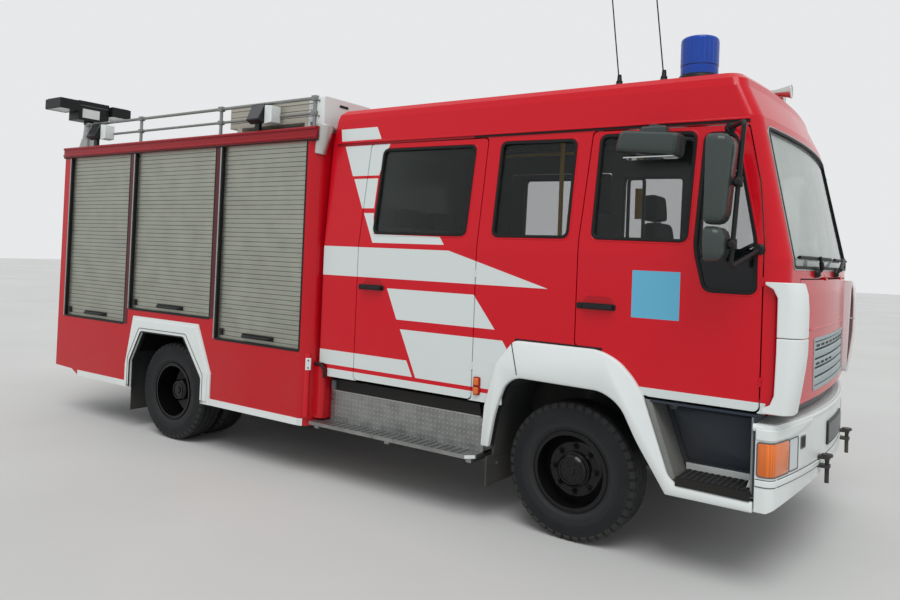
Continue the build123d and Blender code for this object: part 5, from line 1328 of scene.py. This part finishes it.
def wheel_details():
    """Nuts with washers, rim beads and hub rings of the wheels, and their tyres' tread."""
    for name, station, face in (("front_wheel", 0.0, -0.953), ("rear_wheels", REAR_AXLE, -0.922)):
        nuts = []
        for x, z in around(*WHEEL_NUTS):
            for start, end, *form in ((0.0, 0.024, 0.0190, 6, 0.0175), (-0.002, 0.005, 0.0245, 20),
                                      (0.0, 0.037, 0.0085, 10)):
                nuts.append(peg(station + x, (face - start, face - end), TYRE_R + z, *form))
        dress_pair(f"{name}_nuts", "wheel_gloss", *nuts, body=name, bevel=0.0015)
    bead = rect(0.2395, 0.2440, -0.0005, -0.004)
    for name, station, bolts, shapes in (
        ("front_wheel", 0.0, (6, 0.054, (-1.0105, -1.0165), 0.008), (
            (rect(0.100, 0.105, 0.0, -0.004), -0.9775, 40),
            (((0.070, 0.0), (0.079, 0.0), (0.077, -0.005), (0.070, -0.005)), -1.0105, 40),
            (((0.0, 0.0), (0.030, 0.0), (0.027, -0.008), (0.0, -0.009)), -1.0105, 32),
            (bead, -1.0285, 64),
        )),
        ("rear_wheels", REAR_AXLE, (8, 0.080, (-1.079, -1.090), 0.007), (
            (((0.0, 0.0), (0.034, 0.0), (0.031, -0.008), (0.0, -0.009)), -1.096, 32),
            (((0.060, 0.0), (0.068, 0.0), (0.066, -0.005), (0.060, -0.005)), -1.096, 40),
            (bead, -1.1545, 64),
        )),
    ):
        count, reach, depth, radius = bolts
        parts = [turned(profile, at(station, y, TYRE_R), (0, 1, 0), steps) for profile, y, steps in shapes]
        parts += [peg(station + x, depth, TYRE_R + z, radius, 6) for x, z in around(count, reach)]
        dress_pair(f"{name}_rings", "wheel_gloss", *parts, body=name, bevel=0.001)
    tyre_lugs(0.0, (-0.923,), "front_tyre", "front_wheel")
    tyre_lugs(REAR_AXLE, (-1.048, -0.764), "rear_tyres", "rear_wheels")


def cushion(x, y, z, lean=0.0):
    """Rounded cushion between (low, high) stations, widths and heights, leaned back about its foot."""
    part = block(x, y, z)
    bmesh.ops.subdivide_edges(part, edges=part.edges[:], cuts=3, use_grid_fill=True)
    middle = at(*[(high + low) / 2 for low, high in (x, y, z)])
    half = [(high - low) / 2 for low, high in (x, y, z)]
    thin = half.index(min(half))
    for vert in part.verts:
        offset = vert.co - middle
        edge = max(abs(offset[axis]) / half[axis] for axis in range(3) if axis != thin)
        vert.co[thin] = middle[thin] + offset[thin] * (1.10 - 0.28 * edge ** 3)
    foot = at(sum(x) / 2, 0, z[0])
    turn = Matrix.Translation(foot) @ Matrix.Rotation(lean, 4, "Y") @ Matrix.Translation(-foot)
    bmesh.ops.transform(part, matrix=turn, verts=part.verts)
    return part


def seats():
    """Two front seats and the crew bench, padded, with head restraints on posts."""
    pads, frames = [], []
    for places, cushions, post in (
        ((-0.560, 0.560), (
            ((-0.02, 0.46), 0.255, (1.370, 1.490), 0.0), ((-0.04, 0.07), 0.250, (1.440, 2.030), -0.10),
            ((-0.135, -0.005), 0.160, (2.045, 2.245), -0.10),
        ), (0.06, -0.045, 2.00, -0.068, 2.12)),
        ((-0.675, -0.225, 0.225, 0.675), (
            ((-1.88, -1.42), 0.215, (1.205, 1.320), 0.0), ((-1.90, -1.80), 0.205, (1.280, 1.900), -0.09),
            ((-1.965, -1.875), 0.120, (1.930, 2.080), -0.09),
        ), (0.05, -1.885, 1.86, -1.915, 1.98)),
    ):
        out, x0, z0, x1, z1 = post
        for y in places:
            pads += [cushion(x, (y - half, y + half), z, lean) for x, half, z, lean in cushions]
            if len(places) == 2:
                frames.append(block((0.02, 0.40), (y - 0.20, y + 0.20), (1.061, 1.375)))
            frames += [rod(at(x0, side, z0), at(x1, side, z1), 0.008, 10) for side in (y - out, y + out)]
    frames.append(block((-1.86, -1.48), (-0.85, 0.85), (0.901, 1.208)))
    padding = dress("seat_pads", "seat_cloth", *pads)
    rounding = padding.modifiers.new("rounding", "SUBSURF")
    rounding.levels = rounding.render_levels = 2
    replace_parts(padding, "cab_seats")
    dress("seat_frames", "seat_grey", *frames, bevel=0.004)


def cab_inside():
    """Grab rails, instrument hood, engine cover and door trims of the cab."""
    x, y = -0.46, 0.34
    rails = [pipe([at(x, side, 1.08), at(x, side, 2.745)], 0.016, 0.0, 12) for side in (-y, y)]
    rails.append(pipe([at(x, -y, 1.72), at(x, y, 1.72)], 0.016, 0.0, 12))
    rails.append(peg(-0.004, 0.0, (2.03, 2.25), 0.024, 20))
    for side in (-0.42, 0.42):
        run = [at(station, side, z) for station, z in (
            (-0.60, 2.70), (-0.60, 2.60), (-1.50, 2.60), (-1.50, 2.70),
        )]
        rails.append(pipe(run, 0.014, 0.03))
    dress("grab_rails", "yellow", *rails)
    bar = [at(station, 0.0, z) for station, z in (
        (-0.080, 1.36), (-0.080, 2.325), (0.036, 2.325), (0.036, 1.36),
    )]
    dress("grab_frame", "black_plastic", pipe(bar, 0.013, 0.03))
    outline = ((0.33, 1.69), (0.80, 1.69), (0.76, 1.80), (0.37, 1.80))
    hood = stacked("front", outline, ((0.80, 0.0), (0.93, 0.0), (1.00, 0.02)), 0.03)
    vents = [block((0.846, 0.862), (y - 0.07, y + 0.07), (1.60, 1.645)) for y in (-0.90, -0.30, 0.10, 0.90)]
    dress("instrument_hood", "black_plastic", hood, *vents, bevel=0.004)
    tunnel = block((-0.50, 0.76), (-0.24, 0.24), (1.061, 1.36))
    dress("engine_cover", "seat_grey", tunnel, bevel=0.03, segments=3)
    trim = side_plate(rect(0.12, 0.70, 1.14, 1.80), (0.052, 0.062), 0.03)
    dress_pair("door_trim", "seat_grey", trim, body="front_door", bevel=0.003)


def stage_set():
    """Floor, soft light and the camera of the photograph."""
    scene = bpy.context.scene
    part = bmesh.new()
    bmesh.ops.create_grid(part, x_segments=1, y_segments=1, size=60)
    mesh = bpy.data.meshes.new("floor")
    part.to_mesh(mesh)
    part.free()
    floor = bpy.data.objects.new("floor", mesh)
    scene.collection.objects.link(floor)
    ground = finish("floor_paint", "white_paint", Roughness=0.75)
    ground.link(Base_Color=mix(ground.noise(0.4), tone(196, 197, 195), tone(204, 205, 203)))
    mesh.materials.append(ground.material)

    world = bpy.data.worlds.new("studio")
    world.use_nodes = True
    scene.world = world
    rays = add_node(world.node_tree, "ShaderNodeLightPath").outputs
    kinds = ("Camera", "Glossy", "Transmission")
    seen = reduce(Value.most, [Value(rays[f"Is {kind} Ray"]) for kind in kinds])
    background = world.node_tree.nodes["Background"].inputs
    background["Color"].default_value = (0.80, 0.81, 0.82, 1.0)
    world.node_tree.links.new(seen.ramp(0.0, 1.0, 0.78, 1.0).socket, background["Strength"])

    sun = bpy.data.lights.new("soft_key", "SUN")
    sun.energy = 1.5
    sun.angle = math.radians(35)
    lamp = bpy.data.objects.new("soft_key", sun)
    lamp.matrix_world = aim(Vector((0, 0, 8)), Vector((0.25, -0.45, 0.85)))
    scene.collection.objects.link(lamp)

    wide, high, focal, centre = 900, 600, 747, (450.3, 240.55)      # in pixels of the photograph
    yaw, pitch, roll = 0.601, 0.0186, 0.039                         # in radians
    ahead = Vector((-math.sin(yaw) * math.cos(pitch), math.cos(yaw) * math.cos(pitch), math.sin(pitch)))
    right = Vector((math.cos(yaw), math.sin(yaw), 0))
    up = right.cross(ahead)
    right, up = (
        math.cos(roll) * right + math.sin(roll) * up,
        math.cos(roll) * up - math.sin(roll) * right,
    )
    view = bpy.data.cameras.new("photo_view")
    view.sensor_width = 36
    view.lens = focal / wide * view.sensor_width
    view.shift_x = (wide / 2 - centre[0]) / wide
    view.shift_y = (centre[1] - high / 2) / wide
    view.clip_end = 200
    camera = bpy.data.objects.new("photo_view", view)
    axes = Matrix((right, up, -ahead)).transposed().to_4x4()
    camera.matrix_world = Matrix.Translation(at(1.950, -5.254, 1.718)) @ axes
    scene.collection.objects.link(camera)
    scene.camera = camera
    scene.view_settings.view_transform = "Standard"


make_finishes()
paint_solids()
window_seals()
side_fittings()
front_arches()
air_deflectors()
flap_grille()
bumper_fittings()
wipers()
front_steps()
crew_steps()
mirrors()
shutter_trim()
body_trim()
roof_fittings()
mast_fittings()
roof_signals()
wheel_details()
seats()
cab_inside()
stage_set()
